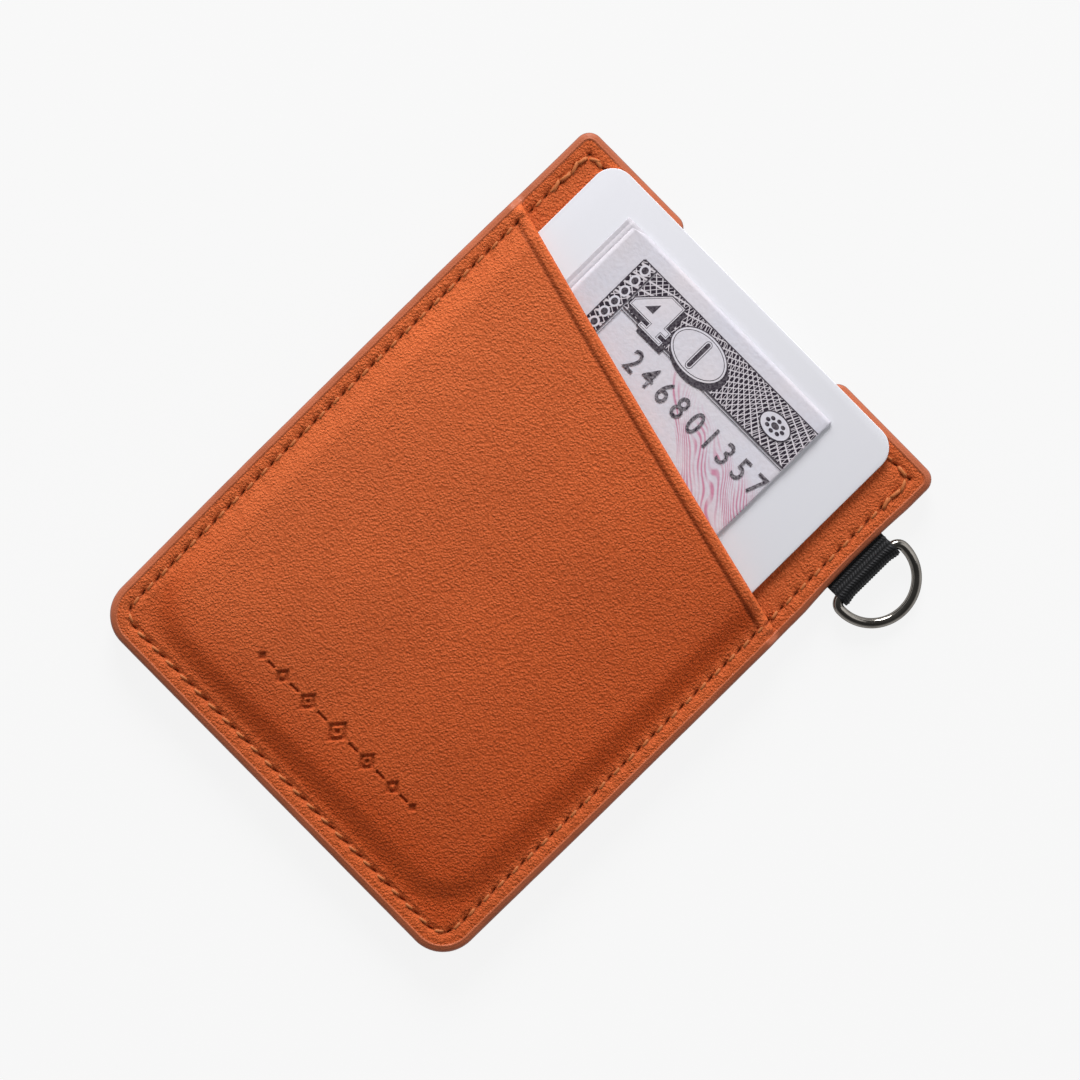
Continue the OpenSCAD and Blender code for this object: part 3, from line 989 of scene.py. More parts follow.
def pocket_layer(sizes, start, end, top_gap, bottom_gap):
    """Mesh of a thin layer inside the front pocket, between two distances below its mouth."""
    height = sizes.bulge_height / MM
    side, foot = HALF_W - LINING_INSET, LINING_INSET - HALF_L
    low = Vector((-side, MOUTH_LEFT - end if end else foot))
    bm = slab(low, Vector((side, MOUTH_LEFT - start)), 0.8)
    slant(bm, whole=bool(end))
    shape(
        bm,
        lambda x, y: (front_underside(x, y, height) - top_gap, 0.0),
        lambda x, y: front_underside(x, y, height) - bottom_gap,
    )
    return bm


def notched_slab(cell):
    """A flat slab with the wallet's outline and its thumb notch."""
    bm = slab(INNER_LOW, INNER_HIGH, cell)
    into_outline(bm)
    gone = [f for f in bm.faces if panel_depth(*f.calc_center_median().xy) < COVER - 0.05]
    bmesh.ops.delete(bm, geom=gone, context="FACES")
    rim = {v for e in bm.edges if e.is_boundary for v in e.verts}
    for v in rim:
        for _ in range(4):
            x, y, step = v.co.x, v.co.y, 0.01
            rise_x = panel_depth(x + step, y) - panel_depth(x - step, y)
            rise_y = panel_depth(x, y + step) - panel_depth(x, y - step)
            v.co += (COVER - panel_depth(x, y)) * Vector((rise_x, rise_y, 0)).normalized()
    bmesh.ops.bridge_loops(bm, edges=[e for e in bm.edges if e.is_boundary])
    return bm


def board():
    """Mesh of the board between the two panels."""
    bm = notched_slab(1.0)
    shape(bm, lambda x, y: (BOARD_HIGH, 0.0), lambda x, y: BOARD_LOW)
    return bm


def rear_lining():
    """Mesh of the lining inside the rear pocket."""
    high = node_high("rear_pocket_lining")
    bm = slab(INNER_LOW, Vector((INNER_HIGH.x, high.y)), 1.0)
    into_outline(bm)
    shape(bm, lambda x, y: (high.z, 0.0), lambda x, y: REAR_POCKET_TOP + 0.01)
    return bm


def tab_pull(x, y):
    """Height of the small folds that the tab pulls into the panel just below it."""
    fold = math.sin(math.tau * (y + 0.12 * x + 0.3 * lumps(x, y, 2.5, 7.0)) / 0.95)
    return 0.035 * fold * bell(y - FOLDS_Y, 1.7) * smooth((x - FOLDS_X) / 2.5)


def panel(outer, inner, upward):
    """Mesh of a notched panel. Its outer face has the seams, its inner face makes room for the tab."""
    bm = notched_slab(0.5)
    shown = MOUTH_LEFT - 20

    def beside_notch(x, y):
        return abs(notch_clearance(x, y) - SEAM_INSET) < SEAM_REACH

    refine(bm, 2, lambda x, y: y > shown and (near_seam(x, y) or beside_notch(x, y)))
    refine(bm, 2, lambda x, y: x > FOLDS_X and abs(y - FOLDS_Y) < 2.8 and not near_seam(x, y, 0.9))

    def outer_face(x, y):
        press, dark = seam_press(x, y)
        depth = panel_depth(x, y)
        swell = 0.08 * bell(depth - 1.7, 0.6) + 0.03 * lumps(x, y, 6, 5.0) + tab_pull(x, y)
        drop = 0.03 + rolled(depth) + press - swell
        # Painted shade in the needle holes.
        return outer - upward * drop, dark

    def inner_face(x, y):
        room_x = smooth((x - TAPE_LOW.x + 0.8) / 0.6)
        room_y = smooth((TAPE_HIGH.y - TAPE_LOW.y) / 2 + 0.6 - abs(y - TAB_Y))
        return inner + upward * 0.27 * room_x * room_y

    shape(bm, outer_face, inner_face)
    return bm


def rear_pocket():
    """Mesh of the rear pocket, which lies flat, with a beaded straight mouth."""
    bm = slab(INNER_LOW, Vector((INNER_HIGH.x, REAR_MOUTH)), 0.5)
    into_outline(bm)
    refine(bm, 2, near_seam)
    refine(bm, 1, lambda x, y: REAR_MOUTH - y < HEM_REACH and not near_seam(x, y, 0.9))

    def outer_face(x, y):
        depth, under = depth_in(x, y), REAR_MOUTH - y
        press, dark = seam_press(x, y)
        crease = bell(under - HEM, 0.28) * smooth(depth - 2.3)
        flat = 0.12 * bell(depth - 4.2, 1.2)
        drop = press + rolled(depth) + 0.16 * crease + 0.6 * rolled(under * 1.5) + flat
        # Painted shade in the needle holes and in the crease below the hem.
        return 0.02 + drop, max(dark, 0.5 * crease)

    shape(bm, outer_face, lambda x, y: REAR_POCKET_TOP)
    return bm


def edge_band():
    """Mesh of the painted band over all the cut edges, which steps where the pockets end."""
    bm = bmesh.new()
    route = edge_route()
    quarter = [i / 8 * math.pi / 2 for i in range(9)]
    full = 2 / EDGE_FULLNESS
    arc = [(EDGE_R * (1 - math.sin(a) ** full), EDGE_R * (1 - math.cos(a) ** full)) for a in quarter]
    arc[-1] = (0.0, EDGE_R)
    bead = [(EDGE_CREST - 0.05 * i, 0.03 - 0.1 * bell(0.05 * i - 0.27, 0.16)) for i in range(1, 10)]
    below_bead = [point for point in arc if point[0] < bead[-1][0] - 0.05]
    top_arc = [(inset, 1, drop) for inset, drop in bead + below_bead]
    bottom_arc = [(inset, 0, drop) for inset, drop in reversed(arc)]
    core = [(EDGE_CREST + 0.35, 0, 0.5), (EDGE_CREST + 0.35, 1, 0.5)]
    section = [core[1], (EDGE_CREST, 1, 0.03), *top_arc, *bottom_arc, (EDGE_CREST, 0, 0.03), core[0]]

    def levels(x, y):
        front, rear = mouth_end(under_mouth(x, y)), mouth_end(REAR_MOUTH - y)
        return PANEL_LOW * (1 - rear), PANEL_TOP + (FLANGE_TOP - PANEL_TOP) * front

    def framed(along):
        point, heading = route.at(along)
        inward = Vector((-math.sin(heading), math.cos(heading)))
        low, high = levels(point.x, point.y)

        def place(part):
            inset, side, drop = part
            wobble = 0.03 * lumps(along, side * 7.0, 2.5, 8.0)
            flat = point + (inset + max(wobble, 0.0)) * inward
            return Vector((*hand_made(*flat), high - drop if side else low + drop))

        return place

    swept(bm, [framed(along) for along in route.stations(0.4)], section, closed=True)
    crease = bm.verts.layers.float.new("crease")
    wear = bm.verts.layers.float.new("wear")
    number = bm.verts.layers.int["number"]
    for v in bm.verts:
        low, high = levels(v.co.x, v.co.y)
        share = (v.co.z - low) / (high - low)
        inset = section[v[number]][0]
        # Painted shade: darker from just below the top down the outer side, a thin dark line about a third of
        # the way up, and darkest along the bottom.
        outer = 0.8 * smooth((high - v.co.z - 0.18) / 0.4)
        v[crease] = max(outer, 0.45 * bell(share - 0.35, 0.1) + 0.6 * smooth((0.3 - share) / 0.3))
        v[wear] = 0.35 * smooth((inset - 0.2) / 0.3) + 0.65 * smooth((inset - 0.8) / 0.25)
    return bm


def front_ground(x, y):
    """Height of the front's outer surface along the seams."""
    step = smooth((under_mouth(x, y) + 0.3) / 0.6)
    return PANEL_TOP + (FLANGE_TOP - PANEL_TOP) * step - 0.05


def back_ground(x, y):
    """Height of the back's outer surface along the seams."""
    return PANEL_LOW * smooth((y - REAR_MOUTH + 0.3) / 0.6) + 0.05


def stitch(bm, route, start, end, ground, outward, thickness, lift, skew):
    """One stitch from a hole to the next: it lies slanted on the leather and dives at both ends."""
    uv = bm.loops.layers.uv.verify()
    made = bmesh.ops.create_grid(bm, x_segments=8, y_segments=8, size=0.5)
    for face in {face for v in made["verts"] for face in v.link_faces}:
        for loop in face.loops:
            loop[uv].uv = (loop.vert.co.x + 0.5, loop.vert.co.y + 0.5)
    (a, _), (b, _) = route.at(start), route.at(end)
    ahead = (b - a).normalized()
    left = Vector((-ahead.y, ahead.x))
    ground_a, ground_b = ground(a.x, a.y), ground(b.x, b.y)
    for v in made["verts"]:
        along, around = v.co.x * 2, (v.co.y + 0.5) * math.tau
        sideways = (0.15 + skew) * along
        middle = (a + b) / 2 + ahead * (b - a).length * 0.5 * along * 0.93 + left * sideways
        level = ground_a + (ground_b - ground_a) * (along + 1) / 2
        radius = thickness / 2 * (1 - 0.75 * abs(along) ** 6) if abs(along) < 0.999 else 0.0
        dive = 0.62 * abs(along) ** 3.5
        rise = outward * (lift - 0.1 - dive + radius * 0.85 * math.cos(around))
        flat = middle + left * radius * math.sin(around)
        v.co = Vector((*hand_made(flat.x, flat.y), level + rise))


def lay_seam(routes, ground, outward, thickness, tacks=()):
    """Mesh of all the stitches along the routes, with doubled stitches at the tacks."""
    bm = bmesh.new()
    lift = 0.05 if outward > 0 else -0.07
    for route in routes:
        pitch = pitch_of(route)
        for i in range(round(route.length / pitch)):
            jitter = 0.05 * noise.noise(Vector((i * 3.7, route.length, 0)))
            start, end = (i + 0.15) * pitch, (i + 0.85) * pitch
            stitch(bm, route, start, end, ground, outward, thickness, lift, jitter)
    for route, start, end, rise, skew in tacks:
        stitch(bm, route, start, end, ground, outward, thickness * 1.3, rise, skew)
    bmesh.ops.remove_doubles(bm, verts=bm.verts, dist=0.002)
    return bm


def tape_route():
    """Middle line of the folded tape, seen from the side, with the bar's middle at the origin."""
    half_t = (TAPE_HIGH.z - TAPE_LOW.z) / 4
    wrap_r = 0.76 + half_t
    root = HINGE.x - BAR.x - 0.1
    reach = math.hypot(root, half_t)
    lean = math.asin(wrap_r / reach) - math.atan2(half_t, -root)
    bend_r = 0.8
    trimmed = bend_r * math.tan(lean / 2)
    slope_l = math.sqrt(reach**2 - wrap_r**2) - trimmed
    tail_l = root - trimmed - (TAPE_LOW.x - BAR.x)
    angle = math.degrees(lean)
    side = [(tail_l, 0), (angle, bend_r), (slope_l, 0)]
    start = TAPE_LOW.x - BAR.x, half_t
    return Route(start, 0, [*side, (180 + 2 * angle, -wrap_r), *reversed(side)])


def tab_tape():
    """Mesh of the woven tape: ribs across it, fine chevrons in the ribs, flared corners."""
    route = tape_route()
    thickness = (TAPE_HIGH.z - TAPE_LOW.z) / 2
    half_w = (TAPE_HIGH.y - TAPE_LOW.y) / 2
    rib = 0.83
    bm = bmesh.new()
    uv = bm.loops.layers.uv.verify()
    crease = bm.verts.layers.float.new("crease")
    bmesh.ops.create_grid(bm, x_segments=260, y_segments=84, size=0.5)
    for face in bm.faces:
        for loop in face.loops:
            loop[uv].uv = ((loop.vert.co.x + 0.5) * route.length, (loop.vert.co.y + 0.5) * 2 * half_w)
    for v in bm.verts:
        along, across = (v.co.x + 0.5) * route.length, v.co.y * 2 * half_w
        point, heading = route.at(along)
        outward = Vector((-math.sin(heading), math.cos(heading)))
        phase = (along - route.length / 2) / rib
        ridge = abs(math.cos(math.pi * phase))
        lean = 1 if math.floor(phase + 0.5) % 2 else -1
        twill = math.sin(math.tau * (across / 0.42 + lean * 0.9 * (phase % 1)))
        selvedge = smooth((half_w - abs(across)) / 0.5)
        raised = (0.16 * ridge**0.6 + 0.07 * twill * ridge - 0.12) * (0.4 + 0.6 * selvedge)
        point = point + outward * (thickness / 2 + raised - 0.06 * (1 - selvedge))
        outer = smooth((point.x + 1.2) / 1.6)
        flare = 0.26 * smooth((abs(across) - 3.1) / 1.9) - 0.1
        pinch = 1 + 0.012 * math.cos(math.tau * along / route.length)
        v.co = Vector((BAR.x + point.x + outer * flare, TAB_Y + across * pinch, BAR.z + point.y))
        # Painted shade in the grooves between the ribs and in the low parts of the twill.
        v[crease] = min(1.0, 0.95 * (1 - ridge) ** 1.5 + 0.25 * (1 - twill) * ridge)
    bmesh.ops.recalc_face_normals(bm, faces=bm.faces)
    bm.normal_update()
    middle = min(bm.faces, key=lambda f: -f.calc_center_median().x)
    if middle.normal.x < 0:
        bmesh.ops.reverse_faces(bm, faces=bm.faces)
        bm.normal_update()
    bmesh.ops.solidify(bm, geom=bm.faces, thickness=thickness * 0.82)
    return bm


def ring_mesh(wire_r):
    """Mesh of the D ring of bent round wire, with its round end down on the table."""
    bm = bmesh.new()
    arc_r = (RING_HIGH.y - RING_LOW.y) / 2 - wire_r
    corner_r, split, sides = 1.2, 0.15, 24
    droop = math.atan2(BAR.z - wire_r, RING_HIGH.x - wire_r - BAR.x)
    reach = (BAR.z - wire_r) / math.sin(droop)
    arm = reach - arc_r - corner_r
    end = [(arc_r - corner_r - split / 2, 0)]
    side = [(90, -corner_r), (arm, 0)]
    route = Route((0, split / 2), 90, [*end, *side, (180, -arc_r), *reversed(side), *end])
    tilt = Matrix.Rotation(droop, 3, "Y")
    turns = [i * math.tau / sides for i in range(sides)]
    section = [(math.cos(turn), math.sin(turn)) for turn in turns]

    def framed(along):
        point, heading = route.at(along)
        across = Vector((-math.sin(heading), math.cos(heading)))

        def place(part):
            flat = point + across * part[0] * wire_r
            return BAR + tilt @ Vector((flat.x, flat.y, part[1] * wire_r))

        return place

    swept(bm, [framed(along) for along in [*route.stations(0.25), route.length]], section)
    return bm


def rounded_plate(low, high, radius, soften):
    """Mesh of a flat plate between two corners, with round corners and softened rims."""
    bm = bmesh.new()
    bmesh.ops.create_grid(bm, x_segments=1, y_segments=1, size=0.5)
    size, middle = high - low, (high + low) / 2
    bmesh.ops.scale(bm, vec=(size.x, size.y, 1), verts=bm.verts)
    bmesh.ops.translate(bm, vec=(middle.x, middle.y, low.z), verts=bm.verts)
    how = {"offset_type": "OFFSET", "profile": 0.5, "material": -1}
    bmesh.ops.bevel(bm, geom=bm.verts[:], offset=radius, affect="VERTICES", segments=12, **how)
    raise_faces(bm, size.z)
    rims = [e for e in bm.edges if abs(e.verts[0].co.z - e.verts[1].co.z) < 1e-6]
    bmesh.ops.bevel(bm, geom=rims, offset=soften, affect="EDGES", segments=3, **how)
    return bm


def note_lift(x, y):
    """How far the top ply of the note stands above its lowest level."""
    return 0.16 * smooth((NOTE_LOW.x + 5 - x) / 5) + 0.04 * (1 + lumps(x, y, 15, 4.0)) * smooth((y - 10) / 20)


def note_sheet():
    """Mesh of the note: one sheet folded twice, with its free end on top at the left."""
    ply = (NOTE_HIGH.z - NOTE_LOW.z) / 4
    left, right = NOTE_LOW.x, NOTE_HIGH.x
    outer_r, inner_r = ply * 1.5, ply * 0.5
    top = NOTE_HIGH.z - ply / 2
    short_end = 1.3
    long_run = right - outer_r - left
    runs = [(long_run - short_end, 0), (180, -outer_r), (long_run - inner_r, 0), (180, -inner_r)]
    runs += [(long_run - inner_r - 0.1, 0), (180, inner_r), (long_run - 0.7, 0)]
    route = Route((left + short_end, top), 0, runs)
    bm = bmesh.new()
    stations = [*route.stations(0.6), route.length]
    columns, rows = len(stations) - 1, 110
    bmesh.ops.create_grid(bm, x_segments=columns, y_segments=rows, size=0.5)
    length = NOTE_HIGH.y - NOTE_LOW.y
    crease = bm.verts.layers.float.new("crease")
    for v in bm.verts:
        along = stations[round((v.co.x + 0.5) * columns)]
        point, _heading = route.at(along)
        y = NOTE_LOW.y + (v.co.y + 0.5) * length
        on_top = smooth((point.y - top) / ply + 1)
        if along < long_run:
            y = min(y, NOTE_HIGH.y - 0.7 + 0.34 * (point.x - left - short_end))
        z = point.y + on_top * note_lift(point.x, y)
        v.co = Vector((point.x, y, z))
        # Painted shade on the lower plies, at the left edge and under the top left corner; a faint darker
        # line along the top edge.
        corner = smooth((y - NOTE_HIGH.y + 1.4) / 0.5) * smooth((left + 4.5 - point.x) / 1.5)
        below = (1 - on_top) * max(0.3 * smooth((left + 2 - point.x) / 0.5), 0.35 * corner)
        v[crease] = max(below, 0.16 * smooth((y - NOTE_HIGH.y + 0.3) / 0.2))
    bmesh.ops.recalc_face_normals(bm, faces=bm.faces)
    bmesh.ops.solidify(bm, geom=bm.faces, thickness=ply * 0.7)
    return bm


def on_note(bm, level):
    """Lays flat print on the note's top ply, at its own small height."""
    for v in bm.verts:
        v.co.z += NOTE_HIGH.z + note_lift(v.co.x, v.co.y) + 0.025 + PRINT_Z * level


def flat_shape(bm, points):
    """Adds one flat face through the given points."""
    return bm.faces.new([bm.verts.new((x, y, 0)) for x, y in points])


def oval(bm, x, y, half_w, half_h):
    """Adds a flat oval."""
    place = Matrix.Translation((x, y, 0)) @ Matrix.Diagonal((half_w, half_h, 1, 1))
    bmesh.ops.create_circle(bm, cap_ends=True, segments=48, radius=1, matrix=place)


def petals(bm, centre, count, reach, half):
    """Adds a ring of flat ovals round a centre."""
    for turn in range(count):
        angle = turn * math.tau / count
        x, y = centre.x + reach[0] * math.cos(angle), centre.y + reach[1] * math.sin(angle)
        oval(bm, x, y, *half)


def bar(bm, x, y, half_w, half_h):
    """Adds a flat upright bar with round ends."""
    points, sides = [], 24
    for i in range(sides):
        angle = math.tau * (i + 0.5) / sides
        shift = (half_h - half_w) * (1 if math.sin(angle) > 0 else -1)
        points.append((x + half_w * math.cos(angle), y + shift + half_w * math.sin(angle)))
    flat_shape(bm, points)


def patch(bm, low_x, low_y, high_x, high_y):
    """Adds a flat rectangle, cut into cells of 1 mm so that it can follow the paper."""
    w, h = high_x - low_x, high_y - low_y
    middle = Matrix.Translation(((low_x + high_x) / 2, (low_y + high_y) / 2, 0))
    place = middle @ Matrix.Diagonal((w, h, 1, 1))
    columns, rows = max(1, round(w)), max(1, round(h))
    bmesh.ops.create_grid(bm, x_segments=columns, y_segments=rows, size=0.5, matrix=place)


def four_points(grow):
    """Outline of a broad 4 with slab feet, grown a little on all sides."""
    x, y = FOUR
    half_h, low, high = 3.0, y - 1.75, y - 0.6
    stem_l, stem_r, foot = x + 0.3, x + 2.4, y - 3.0 + 0.8
    return [
        (x - 3.5 - grow, low - grow),
        (stem_l - grow, low - grow),
        (stem_l - grow, foot + grow),
        (x - 0.7 - grow, foot + grow),
        (x - 0.7 - grow, y - half_h - grow),
        (x + 3.4 + grow, y - half_h - grow),
        (x + 3.4 + grow, foot + grow),
        (stem_r + grow, foot + grow),
        (stem_r + grow, low - grow),
        (x + 3.4 + grow, low - grow),
        (x + 3.4 + grow, high + grow),
        (stem_r + grow, high + grow),
        (stem_r + grow, y + half_h + grow),
        (stem_l - 0.4 - grow * 0.4, y + half_h + grow),
        (x - 3.5 - grow, high + grow * 0.6),
    ]


def print_piece(bm, name, material, level):
    """Finishes one layer of print on the note."""
    on_note(bm, level)
    bm.normal_update()
    return finish_piece(bm, name, "note", material, recalculate=False)


def note_print(colours):
    """All the print: an engraved band, a border, a broad number and a row of digits."""
    ink = ink_material(colours, "Ink", 0.15)
    grey_ink = ink_material(colours, "Grey ink", 0.4)
    paper = note_material(colours)
    band_low, band_high = 32.6, 38.9
    left, right, foot = NOTE_LOW.x + 5.5, NOTE_HIGH.x - 0.15, NOTE_LOW.y + 3.4
    disc = Vector((4.5, (band_low + foot) / 2 - 3.5))
    bm = bmesh.new()
    patch(bm, left + 2.4, band_low, right, band_high)
    patch(bm, left, foot, left + 2.1, band_high)
    patch(bm, left + 2.4, foot, right, foot + 2.1)
    oval(bm, *disc, 8.6, 10.6)
    print_piece(bm, "note_engraved_band", engraving_material(colours), 1)
    bm = bmesh.new()
    for corners in (
        (left, band_high, right, band_high + 0.16),
        (left + 2.4, band_low - 0.2, right, band_low),
        (left + 2.4, band_low - 0.55, right, band_low - 0.45),
        (left + 2.4, foot + 2.1, right, foot + 2.24),
        (left - 0.16, foot - 0.16, right, foot),
        (left - 0.16, foot, left, band_high),
        (left + 2.1, foot, left + 2.24, band_high),
        (left + 2.5, foot + 2.2, left + 2.58, band_low - 0.5),
    ):
        patch(bm, *corners)
    print_piece(bm, "note_border_lines", ink, 2)
    steps = [i * BEAD_PITCH for i in range(int((band_high - foot) / BEAD_PITCH))]
    beads = [(left + 1.05, band_high - 1.0 - step) for step in steps]
    steps = [i * BEAD_PITCH for i in range(int((right - left - 3.0) / BEAD_PITCH))]
    beads += [(left + 3.4 + step, foot + 1.05) for step in steps]
    bm = bmesh.new()
    for x, y in beads:
        oval(bm, x, y, 0.72, 0.8)
    oval(bm, *disc, 7.4, 9.4)
    print_piece(bm, "note_border_beads", paper, 2)
    bm = bmesh.new()
    for x, y in beads:
        oval(bm, x, y, 0.45, 0.5)
    petals(bm, disc, 12, (4.4, 5.6), (0.95, 1.15))
    oval(bm, *disc, 2.1, 2.7)
    print_piece(bm, "note_border_bead_eyes", ink, 3)
    still, shadow = Vector((0, 0)), Vector((0.55, -0.5))
    for name, shift, grow, half_w, half_h, material, level in (
        ("note_number_shadow", shadow, 0.12, 4.6, 3.15, ink, 3),
        ("note_number_rim", still, 0.1, 4.5, 3.1, ink, 4),
        ("note_number", still, -0.06, 4.34, 2.94, paper, 5),
        ("note_number_inner_line", still, -0.2, 4.08, 2.68, ink, 6),
        ("note_number_fill", still, -0.27, 3.98, 2.58, paper, 7),
    ):
        bm = bmesh.new()
        flat_shape(bm, [(x + shift.x, y + shift.y) for x, y in four_points(grow)])
        oval(bm, *(ZERO + shift), half_w, half_h)
        print_piece(bm, name, material, level)
    bm = bmesh.new()
    bar(bm, *ZERO, 0.55, 2.35)
    flat_shape(bm, [(FOUR.x + x, FOUR.y + y) for x, y in ((-1.7, -0.5), (-0.25, -0.5), (-0.25, 1.1))])
    oval(bm, *ROSETTE, 2.5, 1.7)
    print_piece(bm, "note_number_eye", ink, 8)
    for name, half_w, half_h, material, level in (
        ("note_number_eye_rim", 0.46, 2.26, paper, 9),
        ("note_number_eye_core", 0.3, 2.1, ink, 10),
    ):
        bm = bmesh.new()
        bar(bm, *ZERO, half_w, half_h)
        print_piece(bm, name, material, level)
    bm = bmesh.new()
    oval(bm, *ROSETTE, 2.3, 1.5)
    print_piece(bm, "note_rosette_ground", paper, 9)
    bm = bmesh.new()
    petals(bm, ROSETTE, 8, (1.3, 0.8), (0.34, 0.26))
    oval(bm, *ROSETTE, 0.6, 0.42)
    print_piece(bm, "note_rosette_petals", ink, 10)
    bm = bmesh.new()
    for index, digit in enumerate("246801357"):
        add_digit(bm, digit, DIGITS.x + index * DIGIT_PITCH, DIGITS.y, DIGIT_H)
    print_piece(bm, "note_digits", grey_ink, 1)


def add_digit(bm, digit, x, y, height):
    """Adds one flat digit with its lower left corner at x, y."""
    curve = bpy.data.curves.new("digit", "FONT")
    curve.body = digit
    curve.size = height / 0.72
    curve.resolution_u = 4
    curve.offset = 0.02
    holder = bpy.data.objects.new("digit", curve)
    bpy.context.scene.collection.objects.link(holder)
    mesh = bpy.data.meshes.new_from_object(holder.evaluated_get(bpy.context.evaluated_depsgraph_get()))
    mesh.transform(Matrix.Translation((x, y, 0)) @ Matrix.Diagonal((0.84, 1, 1, 1)))
    bm.from_mesh(mesh)
    bpy.data.objects.remove(holder)
    bpy.data.meshes.remove(mesh)
    bpy.data.curves.remove(curve)


# ---- Settings -----------------------------------------------------------------------------------


def colour_property(name, description, default):
    """A colour that the user can change."""
    return FloatVectorProperty(
        name=name, description=description, subtype="COLOR", size=4, min=0, max=1, default=default
    )


def length_property(name, description, default, low, high):
    """A length that the user can change."""
    return FloatProperty(
        name=name, description=description, default=default, min=low, max=high, unit="LENGTH", precision=5
    )


class WalletSizes(bpy.types.PropertyGroup):
    """Sizes of the wallet's soft shapes"""

    bulge_height: length_property(
        "Bulge height",
        "Height of the formed front pocket over its flange",
        (BULGE_TOP - FLANGE_TOP) * MM,
        0.001,
        0.0035,
    )
    cell: length_property("Cell", "Size of the mesh cells on the front pocket", 0.00042, 0.0003, 0.002)
    thread: length_property("Thread", "Thickness of the sewing thread", 0.00042, 0.0003, 0.0008)
    wire: length_property("Ring wire", "Thickness of the D ring's wire", 0.0014, 0.001, 0.0015)


class WalletColours(bpy.types.PropertyGroup):
    """Colours of the wallet's materials"""

    # The leather runs from the first colour to the second; on the front pocket this paints light and shade.
    leather: colour_property("Leather", "Colour of the leather where it is palest", (0.752, 0.166, 0.047, 1))
    leather_brown: colour_property("Browned leather", "Colour where it has browned", (0.567, 0.088, 0.014, 1))
    edge: colour_property("Edge paint", "Colour of the paint on the cut edges", (0.42, 0.12, 0.058, 1))
    thread: colour_property("Thread", "Colour of the sewing thread", (0.85, 0.25, 0.075, 1))
    lining: colour_property("Lining", "Colour of the pocket linings", (0.11, 0.045, 0.022, 1))
    board: colour_property("Board", "Colour of the board in the core", (0.28, 0.19, 0.12, 1))
    webbing: colour_property("Webbing", "Colour of the woven tape", (0.0075, 0.0075, 0.0085, 1))
    metal: colour_property("Metal", "Colour of the ring's plating", (0.24, 0.225, 0.205, 1))
    card: colour_property("Card", "Colour of the card", (0.79, 0.79, 0.84, 1))
    note: colour_property("Note", "Colour of the banknote's paper", (0.76, 0.71, 0.76, 1))
    ink: colour_property("Ink", "Colour of the banknote's dark print", (0.03, 0.021, 0.034, 1))


class WalletStage(bpy.types.PropertyGroup):
    """Light and camera"""

    key_power: FloatProperty(
        name="Key power", description="Power of the key light", default=25.0, min=0, max=200, unit="POWER"
    )
    sky: FloatProperty(
        name="Sky strength", description="Strength of the light from all around", default=0.33, min=0, max=4
    )
    roll: FloatProperty(
        name="Roll",
        description="Turn of the camera about its line of sight",
        default=math.radians(45.4),
        subtype="ANGLE",
    )
    width: length_property("Width of view", "Width of the picture at the wallet's front", 0.1432, 0.05, 1)
    lens: IntProperty(
        name="Lens", description="Focal length of the camera in millimetres", default=200, min=20, max=300
    )


def settings(context):
    """The three property groups of the scene."""
    return [getattr(context.scene, name) for name in PROPERTIES]


# ---- Operators ----------------------------------------------------------------------------------


